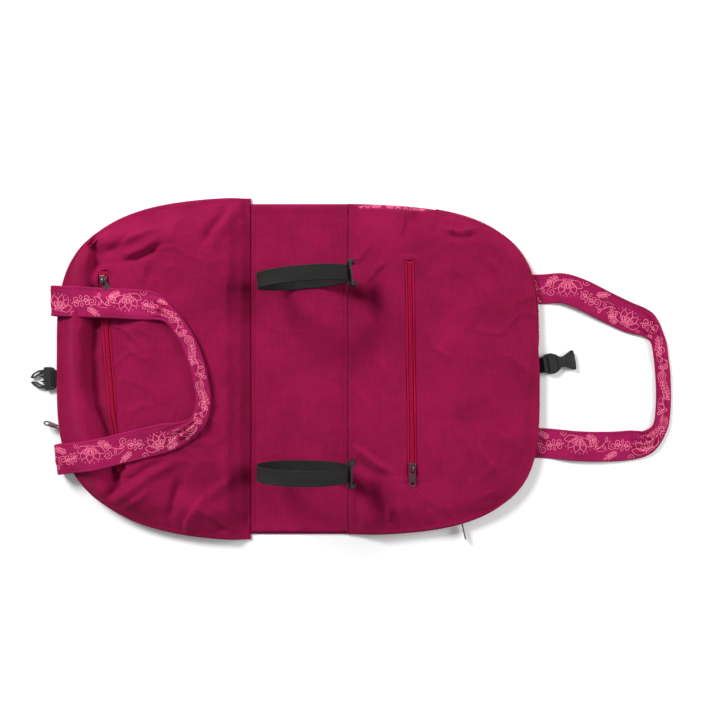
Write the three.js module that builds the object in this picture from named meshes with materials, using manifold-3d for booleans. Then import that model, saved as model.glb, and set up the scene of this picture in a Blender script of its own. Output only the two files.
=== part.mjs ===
// A yoga mat bag, unbuckled and laid open with its lining side up: two zipped pouches on either side of a
// base strip, two webbing loops that hold the rolled mat, a printed carry handle on each pouch and a
// side-release buckle that closes the bag. Millimetres, Z up, +X towards the buckle's socket. The origin is
// on the floor, under the middle of the base strip.
import * as THREE from "three";
import { mergeVertices } from "three/addons/utils/BufferGeometryUtils.js";
import Module from "manifold-3d";

const wasm = await Module();
wasm.setup();

// Cloth and clearances
const clothThickness = 1.5;
const seamGap = 0.3;

// Plan of the left half, from the origin out to its edge
const leftReach = 325;
const leftHalfLength = 229;
const leftFold = 68;

// Plan of the right half
const rightReach = 317;
const rightHalfLength = 222;
const rightFold = 62;

// Base strip and the mat lining that lies on it
const baseHalfLength = 221;
const baseSeamSpace = 0.6;

// Pouch edges: the height of the zip wall, its thickness, and how far it bulges
const wallHeight = 12;
const wallThickness = 1.1;
const wallBulge = 1.2;
const wallInset = 9;
const wallGap = 0.8;
const zipToBandSpace = 0.0005;
const endSpace = 0.004;
const shortestBand = 0.25;

// Puff of the two pouches above their edges
const leftPuff = 13;
const rightPuff = 8;
const puffRampSide = 0.2;
const puffRampOut = 0.14;
const leftFoldRise = 30;
const rightFoldRise = 48;

// Zips: tape, coil, slider body, bail and pull tab
const tapeWidth = 14;
const tapeThickness = 1.1;
const coilWidth = 5;
const coilHeight = 1.7;
const sliderWidth = 9;
const sliderLength = 12;
const sliderPlate = 1.7;
const sliderSkirt = 1.6;
const bailWidth = 2;
const bailThickness = 1.2;
const bailHalfSpan = 3.4;
const bailPlay = 0.9;
const pullThickness = 1.4;
const pullLength = 25;
const pullNeckWidth = 8;
const pullTipWidth = 9.6;
const pullEyeWidth = 5.6;
const pullEyeLength = 5.2;
const pullHoleWidth = 5.4;
const pivotSetback = 2;

// Pocket zip lengths
const leftPocketZip = 266;
const rightPocketZip = 284;

// Carry handles: flat legs, and a grip where the band is folded in half
const bandWidth = 40;
const bandThickness = 2.4;
const gripWidth = 20;
const gripThickness = 5;
const legUnderBag = 72;
const leftWrap = 4;
const leastLevel = 0.35;

// Webbing of the mat loops and of the closing straps
const webbingWidth = 20;
const webbingThickness = 1.6;
const closureUnderBag = 42;

// Rolled mat that the loops hold
const matRadius = 57;
const matAxisOffset = 5;
const loopFlatting = 1.6;
const upperLoopPlace = 117;
const lowerLoopPlace = -132;

// Loop adjusters
const adjusterWidth = 34;
const adjusterLength = 30;
const adjusterBar = 4.2;
const adjusterRail = 5.4;
const adjusterLift = 2.8;
const adjusterBulge = 4.2;
const humpTop = 0.25;

// Side-release buckle
const buckleWidth = 27;
const socketLength = 40;
const socketWall = 1.4;
const plugFrameWidth = 30;
const plugFrameLength = 13;
const plugArmLength = 19.5;
const plugThickness = 4.6;
const plugShoulder = 3;
const crossBarRadius = 1.5;

// Colours from the photograph, as linear shares
const finishes = {
  printedCotton: { color: [0.42, 0.02, 0.12], roughness: 0.85, metalness: 0 },
  plainCanvas: { color: [0.29, 0.01, 0.07], roughness: 0.9, metalness: 0 },
  zipTape: { color: [0.45, 0.01, 0.05], roughness: 0.75, metalness: 0 },
  gunmetal: { color: [0.2, 0.14, 0.17], roughness: 0.35, metalness: 1 },
  webbing: { color: [0.015, 0.014, 0.015], roughness: 0.8, metalness: 0 },
  plastic: { color: [0.03, 0.03, 0.032], roughness: 0.45, metalness: 0 },
};

// The strips sewn under each half lift the outer cloth: an upper leg, a closing strap and a lower leg.
// Each place is the share of the half length where the strip's middle runs.
const bandStrip = { width: bandWidth, thickness: bandThickness, length: legUnderBag };
const closureStrip = { width: webbingWidth, thickness: webbingThickness, length: closureUnderBag };
const leftStrips = [
  { place: 0.408, ...bandStrip },
  { place: -0.055, ...closureStrip },
  { place: -0.547, ...bandStrip },
];
const rightStrips = [
  { place: 0.5, ...bandStrip },
  { place: 0.02, ...closureStrip },
  { place: -0.466, ...bandStrip },
];
const liftMargin = 0.05;
const liftRamp = 0.06;

// Folds of the pouches' inner faces. Each runs from (out0, side0) to (out1, side1), shares of the reach and
// of the half length; rise is a share of the pouch's puff, below zero for a valley, and spread is the
// half-width as a share of the half length.
const leftFolds = [
  { out0: 0.925, side0: 0.62, out1: 0.93, side1: -0.02, rise: 0.42, spread: 0.075 },
  { out0: 0.93, side0: -0.02, out1: 0.88, side1: -0.58, rise: 0.4, spread: 0.075 },
  { out0: 0.855, side0: 0.7, out1: 0.845, side1: 0.15, rise: -0.5, spread: 0.05 },
  { out0: 0.845, side0: 0.15, out1: 0.8, side1: -0.34, rise: -0.5, spread: 0.05 },
  { out0: 0.8, side0: -0.34, out1: 0.765, side1: -0.62, rise: -0.5, spread: 0.05 },
  { out0: 0.765, side0: -0.62, out1: 0.8, side1: -0.76, rise: -0.55, spread: 0.045 },
  { out0: 0.73, side0: 0.6, out1: 0.5, side1: 0.8, rise: 0.34, spread: 0.06 },
  { out0: 0.68, side0: 0.52, out1: 0.46, side1: 0.64, rise: -0.22, spread: 0.05 },
  { out0: 0.3, side0: 0.9, out1: 0.42, side1: 0.56, rise: -0.34, spread: 0.07 },
  { out0: 0.28, side0: 0.7, out1: 0.275, side1: -0.6, rise: 0.4, spread: 0.11 },
  { out0: 0.52, side0: -0.38, out1: 0.48, side1: -0.93, rise: -0.46, spread: 0.08 },
  { out0: 0.4, side0: -0.6, out1: 0.41, side1: -0.9, rise: 0.3, spread: 0.06 },
  { out0: 0.66, side0: -0.78, out1: 0.54, side1: -0.62, rise: 0.26, spread: 0.06 },
  { out0: 0.3, side0: -0.94, out1: 0.36, side1: -0.84, rise: -0.3, spread: 0.035 },
];
const rightFolds = [
  { out0: 0.26, side0: 0.9, out1: 0.42, side1: 0.88, rise: -0.55, spread: 0.045 },
  { out0: 0.32, side0: 0.62, out1: 0.27, side1: 0.3, rise: -0.36, spread: 0.05 },
  { out0: 0.5, side0: 0.93, out1: 0.5, side1: 0.84, rise: 0.42, spread: 0.04 },
  { out0: 0.6, side0: 0.91, out1: 0.61, side1: 0.81, rise: 0.42, spread: 0.04 },
  { out0: 0.55, side0: 0.9, out1: 0.56, side1: 0.82, rise: -0.4, spread: 0.03 },
  { out0: 0.66, side0: 0.88, out1: 0.75, side1: 0.78, rise: -0.3, spread: 0.04 },
  { out0: 0.68, side0: 0.3, out1: 0.7, side1: -0.3, rise: 0.24, spread: 0.16 },
  { out0: 0.26, side0: -0.5, out1: 0.4, side1: -0.66, rise: -0.36, spread: 0.05 },
  { out0: 0.34, side0: -0.86, out1: 0.3, side1: -0.95, rise: -0.36, spread: 0.04 },
  { out0: 0.45, side0: -0.84, out1: 0.46, side1: -0.94, rise: 0.34, spread: 0.04 },
];

const leftHalf = {
  sign: -1,
  reach: leftReach,
  halfLength: leftHalfLength,
  fold: leftFold / leftReach,
  taper: 0.05,
  upperCorner: 3.8,
  lowerCorner: 3.4,
  puff: leftPuff,
  foldRise: leftFoldRise / leftReach,
  strips: leftStrips,
  folds: leftFolds,
};
const rightHalf = {
  sign: 1,
  reach: rightReach,
  halfLength: rightHalfLength,
  fold: rightFold / rightReach,
  taper: 0.05,
  upperCorner: 4.2,
  lowerCorner: 4.2,
  puff: rightPuff,
  foldRise: rightFoldRise / rightReach,
  strips: rightStrips,
  folds: rightFolds,
};

// Pocket zips on the inner faces: the middle, the lean and the bend of each, which end the slider is at, and
// how its pull lies
const leftPocket = {
  out: 0.765,
  side: -0.012,
  lean: 0.088,
  bend: 4,
  length: leftPocketZip,
  sliderEnd: 1,
  pullYaw: 0.45,
  pullDroop: 0.12,
};
const rightPocket = {
  out: 0.458,
  side: 0.006,
  lean: 0.013,
  bend: 0,
  length: rightPocketZip,
  sliderEnd: -1,
  pullYaw: 0,
  pullDroop: 0.17,
};

// Where the edge zips end and where their sliders stand. Each place is a boundary share: 0 at the upper
// fold corner, 1 at the lower one.
const leftEdgeZip = { from: 0.15, to: 0.85, slider: 0.605, pullTwist: 0.5, pullTurn: 0.45 };
const rightEdgeZip = { from: 0.14, to: 0.86, slider: 0.835, pullTwist: 0, pullTurn: 0.05 };

// The handles' routes: out and side are shares of the reach and half length, flat is 1 for the open band
// and 0 for the folded grip, and rise is how far the band bows up, as a share of its width.
const leftRoute = [
  { out: 0.96, side: 0.39, flat: 1, rise: 0 },
  { out: 0.82, side: 0.381, flat: 1, rise: 0 },
  { out: 0.665, side: 0.37, flat: 1, rise: 0 },
  { out: 0.59, side: 0.357, flat: 0.75, rise: 0.03 },
  { out: 0.52, side: 0.3, flat: 0.1, rise: 0.06 },
  { out: 0.464, side: 0.197, flat: 0, rise: 0.08 },
  { out: 0.42, side: 0.06, flat: 0, rise: 0.1 },
  { out: 0.395, side: -0.09, flat: 0, rise: 0.08 },
  { out: 0.388, side: -0.2, flat: 0, rise: 0.06 },
  { out: 0.41, side: -0.3, flat: 0.15, rise: 0.06 },
  { out: 0.47, side: -0.36, flat: 0.5, rise: 0.04 },
  { out: 0.56, side: -0.398, flat: 0.9, rise: 0.02 },
  { out: 0.68, side: -0.44, flat: 1, rise: 0 },
  { out: 0.83, side: -0.49, flat: 1, rise: 0 },
  { out: 0.945, side: -0.514, flat: 1, rise: 0 },
];
const rightRoute = [
  { out: 0.775, side: 0.47, flat: 1, rise: 0 },
  { out: 0.9, side: 0.475, flat: 1, rise: 0 },
  { out: 1.03, side: 0.482, flat: 1, rise: 0 },
  { out: 1.1, side: 0.486, flat: 1, rise: 0.1 },
  { out: 1.18, side: 0.448, flat: 1, rise: 0.14 },
  { out: 1.28, side: 0.378, flat: 1, rise: 0.08 },
  { out: 1.375, side: 0.315, flat: 1, rise: 0.04 },
  { out: 1.452, side: 0.27, flat: 0.7, rise: 0.03 },
  { out: 1.5, side: 0.185, flat: 0.1, rise: 0.02 },
  { out: 1.518, side: 0.06, flat: 0, rise: 0 },
  { out: 1.527, side: -0.1, flat: 0, rise: 0 },
  { out: 1.525, side: -0.25, flat: 0, rise: 0 },
  { out: 1.51, side: -0.36, flat: 0.1, rise: 0.02 },
  { out: 1.455, side: -0.44, flat: 0.6, rise: 0.04 },
  { out: 1.37, side: -0.462, flat: 1, rise: 0.03 },
  { out: 1.26, side: -0.468, flat: 1, rise: 0.08 },
  { out: 1.15, side: -0.463, flat: 1, rise: 0.1 },
  { out: 1.05, side: -0.45, flat: 1, rise: 0 },
  { out: 0.9, side: -0.443, flat: 1, rise: 0 },
  { out: 0.775, side: -0.44, flat: 1, rise: 0 },
];

// Closing straps: where each leaves the bag and the way it points
const socketTilt = 0.17;
const socketStrapShow = 10.5;
const plugTilt = 0.07;
const plugStrapShow = 6.5;

// Fineness of the sheets and lofts
const innerStep = 0.09;
const outerStep = 0.3;
const routeSteps = 30;
const loopSteps = 40;
const shareTolerance = 1e-6;
const wrapSteps = 6;
const pocketStations = 20;
const shareSteps = 12;
const cornerLines = [0.88, 0.94, 0.975, 1];
const mergeDistance = 1e-4;

const smooth = (t) => {
  const s = Math.min(1, Math.max(0, t));
  return s * s * (3 - 2 * s);
};

const mix = (a, b, t) => a + (b - a) * t;

const upward = new THREE.Vector3(0, 0, 1);

// Meshes

function closedMesh(points, faces) {
  const volume = faces.reduce((sum, [a, b, c]) => {
    const cross = new THREE.Vector3().crossVectors(points[b], points[c]);
    return sum + points[a].dot(cross);
  }, 0);
  const turned = volume < 0 ? faces.map(([a, b, c]) => [a, c, b]) : faces;
  const geometry = new THREE.BufferGeometry().setFromPoints(points);
  geometry.setIndex(turned.flat());
  return geometry;
}

// A loft through frames, each with an origin, two directions and the profile that they carry.
function loft(frames) {
  const count = frames[0].profile.length;
  const points = frames.flatMap(({ origin, across, up, profile }) =>
    profile.map(([a, b]) => origin.clone().addScaledVector(across, a).addScaledVector(up, b)),
  );
  const faces = [];
  for (let i = 0; i + 1 < frames.length; i++) {
    for (let j = 0; j < count; j++) {
      const [a, b] = [i * count + j, i * count + ((j + 1) % count)];
      faces.push([a, b, b + count], [a, b + count, a + count]);
    }
  }
  const last = (frames.length - 1) * count;
  const capOf = (profile) => {
    const contour = profile.map(([a, b]) => new THREE.Vector2(a, b));
    const turned = THREE.ShapeUtils.isClockWise(contour);
    const triangles = THREE.ShapeUtils.triangulateShape(contour, []);
    return triangles.map(([a, b, c]) => (turned ? [a, c, b] : [a, b, c]));
  };
  capOf(frames[0].profile).forEach(([a, b, c]) => faces.push([a, c, b]));
  const lastProfile = frames[frames.length - 1].profile;
  capOf(lastProfile).forEach(([a, b, c]) => faces.push([a + last, b + last, c + last]));
  return closedMesh(points, faces);
}

// A sheet over a grid of lines. Under gives the point of its lower face, and the upper face is a thickness
// above it.
function sheet(outLines, sideLines, under, thickness) {
  const [n, m] = [outLines.length, sideLines.length];
  const lower = outLines.flatMap((u) => sideLines.map((v) => under(u, v)));
  const upper = lower.map((p) => p.clone().add(new THREE.Vector3(0, 0, thickness)));
  const faces = [];
  const at = (i, j, top) => (top ? n * m : 0) + i * m + j;
  for (let i = 0; i + 1 < n; i++) {
    for (let j = 0; j + 1 < m; j++) {
      const low = [at(i, j), at(i + 1, j), at(i + 1, j + 1), at(i, j + 1)];
      faces.push([low[0], low[2], low[1]], [low[0], low[3], low[2]]);
      const high = low.map((k) => k + n * m);
      faces.push([high[0], high[1], high[2]], [high[0], high[2], high[3]]);
    }
  }
  const wall = (a, b) => faces.push([a, b, b + n * m], [a, b + n * m, a + n * m]);
  for (let i = 0; i + 1 < n; i++) {
    wall(at(i, 0), at(i + 1, 0));
    wall(at(i + 1, m - 1), at(i, m - 1));
  }
  for (let j = 0; j + 1 < m; j++) {
    wall(at(n - 1, j), at(n - 1, j + 1));
    wall(at(0, j + 1), at(0, j));
  }
  return closedMesh([...lower, ...upper], faces);
}

function solidOf(geometry) {
  const bare = geometry.clone();
  bare.deleteAttribute("normal");
  bare.deleteAttribute("uv");
  const merged = mergeVertices(bare, mergeDistance);
  const vertProperties = merged.attributes.position.array;
  const triVerts = new Uint32Array(merged.index.array);
  return new wasm.Manifold(new wasm.Mesh({ numProp: 3, vertProperties, triVerts }));
}

function geometryOf(solid) {
  const { vertProperties, triVerts } = solid.getMesh();
  const geometry = new THREE.BufferGeometry();
  geometry.setAttribute("position", new THREE.BufferAttribute(vertProperties, 3));
  geometry.setIndex(new THREE.BufferAttribute(triVerts, 1));
  return geometry;
}

function join(...geometries) {
  return geometryOf(geometries.map(solidOf).reduce((a, b) => a.add(b)));
}

function cut(geometry, ...tools) {
  return geometryOf(tools.map(solidOf).reduce((a, b) => a.subtract(b), solidOf(geometry)));
}

function block(width, length, height, x = 0, y = 0, z = 0) {
  return new THREE.BoxGeometry(width, length, height).translate(x, y, z);
}

function shapeOf(points) {
  const outline = points.map(([x, y]) => new THREE.Vector2(x, y));
  return new THREE.Shape(THREE.ShapeUtils.isClockWise(outline) ? outline.reverse() : outline);
}

// A side profile drawn in X and Z, made as wide as asked along Y.
function slabAcross(shape, width) {
  const options = { depth: width, bevelEnabled: false, curveSegments: 8 };
  return new THREE.ExtrudeGeometry(shape, options).translate(0, 0, -width / 2).rotateX(Math.PI / 2);
}

function plate(shape, thickness) {
  return new THREE.ExtrudeGeometry(shape, { depth: thickness, bevelEnabled: false, curveSegments: 6 });
}

const bag = new THREE.Group();

function part(name, geometry, finish, parent = bag) {
  const { color, roughness, metalness } = finishes[finish];
  const material = new THREE.MeshStandardMaterial({ color: new THREE.Color(...color), roughness, metalness });
  const mesh = new THREE.Mesh(geometry, material);
  mesh.name = name;
  parent.add(mesh);
  return mesh;
}

// The plan of a half: a rounded outline that maps u (fold to edge) and v (lower to upper end) to X and Y

function planPoint(half, u, v) {
  const corner = v >= 0 ? half.upperCorner : half.lowerCorner;
  const far = Math.max(Math.abs(u), Math.abs(v));
  const round = far ? far / (Math.abs(u) ** corner + Math.abs(v) ** corner) ** (1 / corner) : 1;
  const pull = 1 + (round - 1) * far ** 4;
  const x = half.sign * half.reach * u * pull;
  const y = half.halfLength * (1 - half.taper * u * u) * v * pull;
  return new THREE.Vector3(x, y, 0);
}

// The shares of a place in the plan, found by stepping towards it.
function planShares(half, x, y) {
  let [u, v] = [(half.sign * x) / half.reach, y / half.halfLength];
  for (let i = 0; i < shareSteps; i++) {
    const p = planPoint(half, u, v);
    u += (half.sign * (x - p.x)) / half.reach;
    v += (y - p.y) / half.halfLength;
  }
  return [u, v];
}

// Grid lines that keep every break and stay no further apart than a step.
function linesThrough(breaks, step) {
  const sorted = [...new Set(breaks)].sort((a, b) => a - b);
  const lines = [sorted[0]];
  sorted.slice(1).forEach((end, i) => {
    const pieces = Math.max(1, Math.ceil((end - sorted[i]) / step - shareTolerance));
    for (let k = 1; k <= pieces; k++) lines.push(mix(sorted[i], end, k / pieces));
  });
  return lines;
}

// How far a strip's lift reaches: beside its middle and in from the edge, as shares.
function liftReach(half, { width, length }) {
  return { beside: width / 2 / half.halfLength + liftMargin, inward: length / half.reach + liftMargin };
}

function stripBreaks(half) {
  const reaches = half.strips.map((strip) => ({ place: strip.place, ...liftReach(half, strip) }));
  return {
    sides: reaches.flatMap(({ place, beside }) => [
      place - beside - liftRamp,
      place - beside,
      place + beside,
      place + beside + liftRamp,
    ]),
    outs: reaches.flatMap(({ inward }) => [1 - inward - liftRamp, 1 - inward]),
  };
}

function gridOf(half, step, { sides, outs } = { sides: [], outs: [] }) {
  return {
    outLines: linesThrough([half.fold, ...outs, ...cornerLines], step),
    sideLines: linesThrough([...cornerLines.map((c) => -c), ...sides, ...cornerLines], step),
  };
}

// How far the strips underneath lift the outer cloth at a place.
function liftAt(half, u, v) {
  const lifts = half.strips.map((strip) => {
    const { beside, inward } = liftReach(half, strip);
    const side = 1 - (Math.abs(v - strip.place) - beside) / liftRamp;
    const out = 1 - (1 - inward - u) / liftRamp;
    const share = Math.min(1, Math.max(0, Math.min(side, out)));
    return share * (strip.thickness + seamGap);
  });
  return Math.max(...lifts);
}

function foldsAt(half, u, v) {
  const aspect = half.reach / half.halfLength;
  return half.folds.reduce((sum, { out0, side0, out1, side1, rise, spread }) => {
    const [dx, dy] = [(out1 - out0) * aspect, side1 - side0];
    const [px, py] = [(u - out0) * aspect, v - side0];
    const t = Math.min(1, Math.max(0, (px * dx + py * dy) / (dx * dx + dy * dy)));
    const away = Math.hypot(px - t * dx, py - t * dy) / spread;
    return sum + rise * half.puff * Math.exp(-away * away);
  }, 0);
}

// How high the pouch's edge stands at a place along the fold-to-edge way: nothing at the fold.
function edgeShare(half, u) {
  return smooth((u - half.fold) / half.foldRise);
}

const outerTop = (half, u, v) => liftAt(half, u, v) + clothThickness;

function innerUnder(half, u, v) {
  const edge = edgeShare(half, u);
  const rim = clothThickness + seamGap + wallHeight * edge;
  const inside = smooth((1 - Math.abs(v)) / puffRampSide) * smooth((1 - u) / puffRampOut);
  return rim + (half.puff + foldsAt(half, u, v)) * inside * edge;
}

function innerUnderAt(half, x, y) {
  const [u, v] = planShares(half, x, y);
  return innerUnder(half, Math.min(1, u), Math.min(1, Math.max(-1, v)));
}

const innerTopAt = (half, x, y) => innerUnderAt(half, x, y) + clothThickness;

function outerTopAt(half, x, y) {
  const [u, v] = planShares(half, x, y);
  return outerTop(half, Math.min(1, u), Math.min(1, Math.max(-1, v)));
}

// Stations round a pouch's edge, from the upper fold corner to the lower one. Share runs from 0 to 1.
function edgeStations(half) {
  const { outLines, sideLines } = gridOf(half, innerStep, stripBreaks(half));
  const shares = [
    ...outLines.slice(1).map((u) => [u, 1]),
    ...[...sideLines].reverse().slice(1).map((v) => [1, v]),
    ...[...outLines].reverse().slice(1, -1).map((u) => [u, -1]),
  ];
  const points = shares.map(([u, v]) => planPoint(half, u, v));
  const walked = [0];
  points.slice(1).forEach((p, i) => walked.push(walked[i] + p.distanceTo(points[i])));
  const whole = walked[walked.length - 1];
  return points.map((point, i) => {
    const [before, after] = [points[Math.max(i - 1, 0)], points[Math.min(i + 1, points.length - 1)]];
    const along = after.clone().sub(before).normalize();
    const outward = new THREE.Vector3(along.y, -along.x, 0).multiplyScalar(-half.sign);
    return { point, outward, u: shares[i][0], share: walked[i] / whole };
  });
}

function stationAt(stations, share) {
  const after = Math.max(1, stations.findIndex((s) => s.share >= share));
  const [a, b] = [stations[after - 1], stations[after]];
  const t = (share - a.share) / (b.share - a.share);
  const between = (key) => a[key].clone().lerp(b[key], t);
  return {
    point: between("point"),
    outward: between("outward").normalize(),
    u: mix(a.u, b.u, t),
    share,
  };
}

function stretch(stations, from, to) {
  const inside = stations.filter((s) => s.share > from + endSpace && s.share < to - endSpace);
  return [stationAt(stations, from), ...inside, stationAt(stations, to)];
}

// The room between the two panels' edges at a station of the wall.
function wallRoom(half, { point, outward }) {
  const beside = new THREE.Vector3(-outward.y, outward.x, 0);
  const footprint = [-1, 0, 1, 2].flatMap((t) =>
    [-1, 0, 1].map((s) =>
      point
        .clone()
        .addScaledVector(outward, -wallInset - t * wallThickness)
        .addScaledVector(beside, s * 2 * wallThickness),
    ),
  );
  const low = Math.max(...footprint.map(({ x, y }) => outerTopAt(half, x, y))) + wallGap;
  const high = Math.min(...footprint.map(({ x, y }) => innerUnderAt(half, x, y))) - wallGap;
  return [low, high];
}

// A wall of cloth that stands on the outer panel's edge and carries the inner panel's edge.
function edgeWall(half, stations) {
  return loft(
    stations.map((station) => {
      const { point, outward, u } = station;
      const [low, high] = wallRoom(half, station);
      const middle = (low + high) / 2;
      const bulge = wallBulge * edgeShare(half, u);
      const inner = -wallInset - wallThickness;
      const profile = [
        [-wallInset, low],
        [-wallInset + bulge, middle],
        [-wallInset, high],
        [inner, high],
        [inner + bulge, middle],
        [inner, low],
      ];
      return { origin: point, across: outward, up: upward, profile };
    }),
  );
}

// The zip's coil runs along the middle of the wall's outer face.
function edgeCoil(half, stations) {
  const start = -wallInset + wallBulge + seamGap;
  return loft(
    stations.map((station) => {
      const { point, outward } = station;
      const [low, high] = wallRoom(half, station);
      const middle = (low + high) / 2;
      const profile = [
        [start, middle - coilWidth / 2],
        [start + coilHeight, middle - coilWidth / 4],
        [start + coilHeight, middle + coilWidth / 4],
        [start, middle + coilWidth / 2],
      ];
      return { origin: point, across: outward, up: upward, profile };
    }),
  );
}

// Zip slider: X across the zip, Y along it, Z away from the tape's face, origin on that face
const plateLow = seamGap + coilHeight + seamGap;
const plateTop = plateLow + sliderPlate;
const pivotHeight = plateTop + pullThickness / 2 + bailPlay;
const bailInner = pivotHeight + pullThickness / 2 + bailPlay;

function sliderGeometry() {
  const [w, l] = [sliderWidth / 2, sliderLength / 2];
  const outline = [
    [-w, l * 0.75],
    [-w * 0.7, l],
    [w * 0.7, l],
    [w, l * 0.75],
    [w, l * 0.1],
    [w * 0.82, -l],
    [-w * 0.82, -l],
    [-w, l * 0.1],
  ];
  const body = plate(shapeOf(outline), plateTop - seamGap).translate(0, 0, seamGap);
  const channelWidth = sliderWidth - 2 * sliderSkirt;
  const channel = block(channelWidth, sliderLength * 2, plateLow * 2, 0, 0, 0);
  const bailTop = bailInner + bailThickness;
  const bailFoot = plateTop - seamGap;
  const bail = block(bailWidth, bailHalfSpan * 2, bailTop - bailFoot, 0, 0, (bailTop + bailFoot) / 2);
  const windowMiddle = (bailInner + plateTop) / 2;
  const windowSpan = (bailHalfSpan - bailThickness) * 2;
  const window = block(bailWidth * 3, windowSpan, bailInner - plateTop, 0, 0, windowMiddle);
  return join(cut(body, channel), cut(bail, window).translate(0, -pivotSetback, 0));
}

// Pull tab: its cross bar lies along X through the origin, and the tab runs towards -Y.
function pullGeometry() {
  const [neck, tip] = [pullNeckWidth / 2, pullTipWidth / 2];
  const tipStart = -pullLength + tip;
  const outline = new THREE.Shape();
  const back = pullThickness / 2;
  outline.moveTo(-neck, back);
  outline.lineTo(-neck, -pullLength * 0.3);
  outline.lineTo(-tip, tipStart);
  outline.absarc(0, tipStart, tip, Math.PI, Math.PI * 2, false);
  outline.lineTo(neck, -pullLength * 0.3);
  outline.lineTo(neck, back);
  const eye = shapeOf([
    [-pullEyeWidth / 2, -back],
    [pullEyeWidth / 2, -back],
    [pullEyeWidth / 2, -back - pullEyeLength],
    [-pullEyeWidth / 2, -back - pullEyeLength],
  ]);
  const hole = new THREE.Path();
  const r = pullHoleWidth / 2;
  hole.moveTo(-r, tipStart + r * 0.7);
  hole.lineTo(-r, tipStart);
  hole.absarc(0, tipStart, r, Math.PI, Math.PI * 2, false);
  hole.lineTo(r, tipStart + r * 0.7);
  outline.holes.push(eye, hole);
  return plate(outline, pullThickness).translate(0, 0, -pullThickness / 2);
}

// A slider and its pull, in a group that stands on the tape. Yaw swings the tab about the tape's normal,
// swing lifts it about its cross bar, and twist turns it about its own length.
function sliderWithPull(label, group, { yaw = 0, swing = 0, twist = 0 }) {
  part(`${label}_slider`, sliderGeometry(), "gunmetal", group);
  const pivot = new THREE.Group();
  pivot.position.set(0, -pivotSetback, pivotHeight);
  pivot.rotation.z = yaw;
  group.add(pivot);
  const pull = part(`${label}_pull`, pullGeometry(), "gunmetal", pivot);
  pull.rotation.set(-swing, twist, 0, "XYZ");
}

function outerPanel(half) {
  const { outLines, sideLines } = gridOf(half, outerStep, stripBreaks(half));
  const under = (u, v) => planPoint(half, u, v).setZ(liftAt(half, u, v));
  return sheet(outLines, sideLines, under, clothThickness);
}

function innerPanel(half, pocket) {
  const { outLines, sideLines } = gridOf(half, innerStep);
  const under = (u, v) => planPoint(half, u, v).setZ(innerUnder(half, u, v));
  const whole = sheet(outLines, sideLines, under, clothThickness);
  const w = tapeWidth / 2 + seamGap;
  const tall = 4 * (half.puff + wallHeight);
  const slot = [[-w, 0], [w, 0], [w, tall], [-w, tall]];
  const ends = seamGap / (pocket.length / 2);
  const frames = pocketFrames(half, pocket).map(({ centre, across, at }) => {
    const past = 1 + (Math.abs(at) > 1 - shareTolerance ? ends : 0);
    const origin = pocketCentre(half, pocket, at * past);
    return { origin, across, up: upward, profile: slot };
  });
  return cut(whole, loft(frames));
}

// The middle of a pocket zip's tape: at runs from -1 at its lower end to 1 at its upper end.
function pocketCentre(half, { out, side, lean, bend, length }, at) {
  const along = new THREE.Vector3(-Math.sin(lean), Math.cos(lean), 0);
  const across = new THREE.Vector3(Math.cos(lean), Math.sin(lean), 0);
  const middle = new THREE.Vector3(half.sign * half.reach * out, half.halfLength * side, 0);
  return middle.addScaledVector(along, (at * length) / 2).addScaledVector(across, -bend * (1 - at * at));
}

// Stations along a pocket zip, with the height of the canvas at the tape's two edges and its middle.
function pocketFrames(half, pocket) {
  const across = new THREE.Vector3(Math.cos(pocket.lean), Math.sin(pocket.lean), 0);
  return Array.from({ length: pocketStations + 1 }, (_, i) => {
    const at = (2 * i) / pocketStations - 1;
    const centre = pocketCentre(half, pocket, at);
    const heights = [-1, 0, 1].map((s) => {
      const p = centre.clone().addScaledVector(across, (s * tapeWidth) / 2);
      return innerUnderAt(half, p.x, p.y);
    });
    return { centre, across, heights, at };
  });
}

function pocketTape(half, pocket) {
  const w = tapeWidth / 2;
  return loft(
    pocketFrames(half, pocket).map(({ centre, across, heights: [a, b, c] }) => {
      const profile = [
        [-w, a],
        [0, b],
        [w, c],
        [w, c + tapeThickness],
        [0, b + tapeThickness],
        [-w, a + tapeThickness],
      ];
      return { origin: centre, across, up: upward, profile };
    }),
  );
}

// The height of a coil's foot, clear of the tape under its whole width.
function coilFoot([a, b, c]) {
  const share = (1.5 * coilWidth) / tapeWidth;
  return Math.max(b, mix(b, a, share), mix(b, c, share)) + tapeThickness + seamGap;
}

function pocketCoil(half, pocket) {
  const w = coilWidth / 2;
  return loft(
    pocketFrames(half, pocket).slice(1, -1).map(({ centre, across, heights }) => {
      const low = coilFoot(heights);
      const profile = [
        [-w, low],
        [w, low],
        [w / 2, low + coilHeight],
        [-w / 2, low + coilHeight],
      ];
      return { origin: centre, across, up: upward, profile };
    }),
  );
}

// The slider stands near one end of the zip, over the coil.
function pocketSliderPlace(half, pocket) {
  const at = pocket.sliderEnd * (1 - (2 * sliderLength) / pocket.length);
  const reachAlong = (2 * sliderLength) / pocket.length;
  const near = pocketFrames(half, pocket).filter((f) => Math.abs(f.at - at) <= reachAlong);
  const height = Math.max(...near.map(({ heights }) => coilFoot(heights))) - seamGap;
  return pocketCentre(half, pocket, at).setZ(height);
}

function pocketSlider(label, half, pocket) {
  const group = new THREE.Group();
  group.position.copy(pocketSliderPlace(half, pocket));
  group.rotation.z = pocket.lean;
  bag.add(group);
  sliderWithPull(label, group, { yaw: pocket.pullYaw, swing: -pocket.pullDroop });
}

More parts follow.
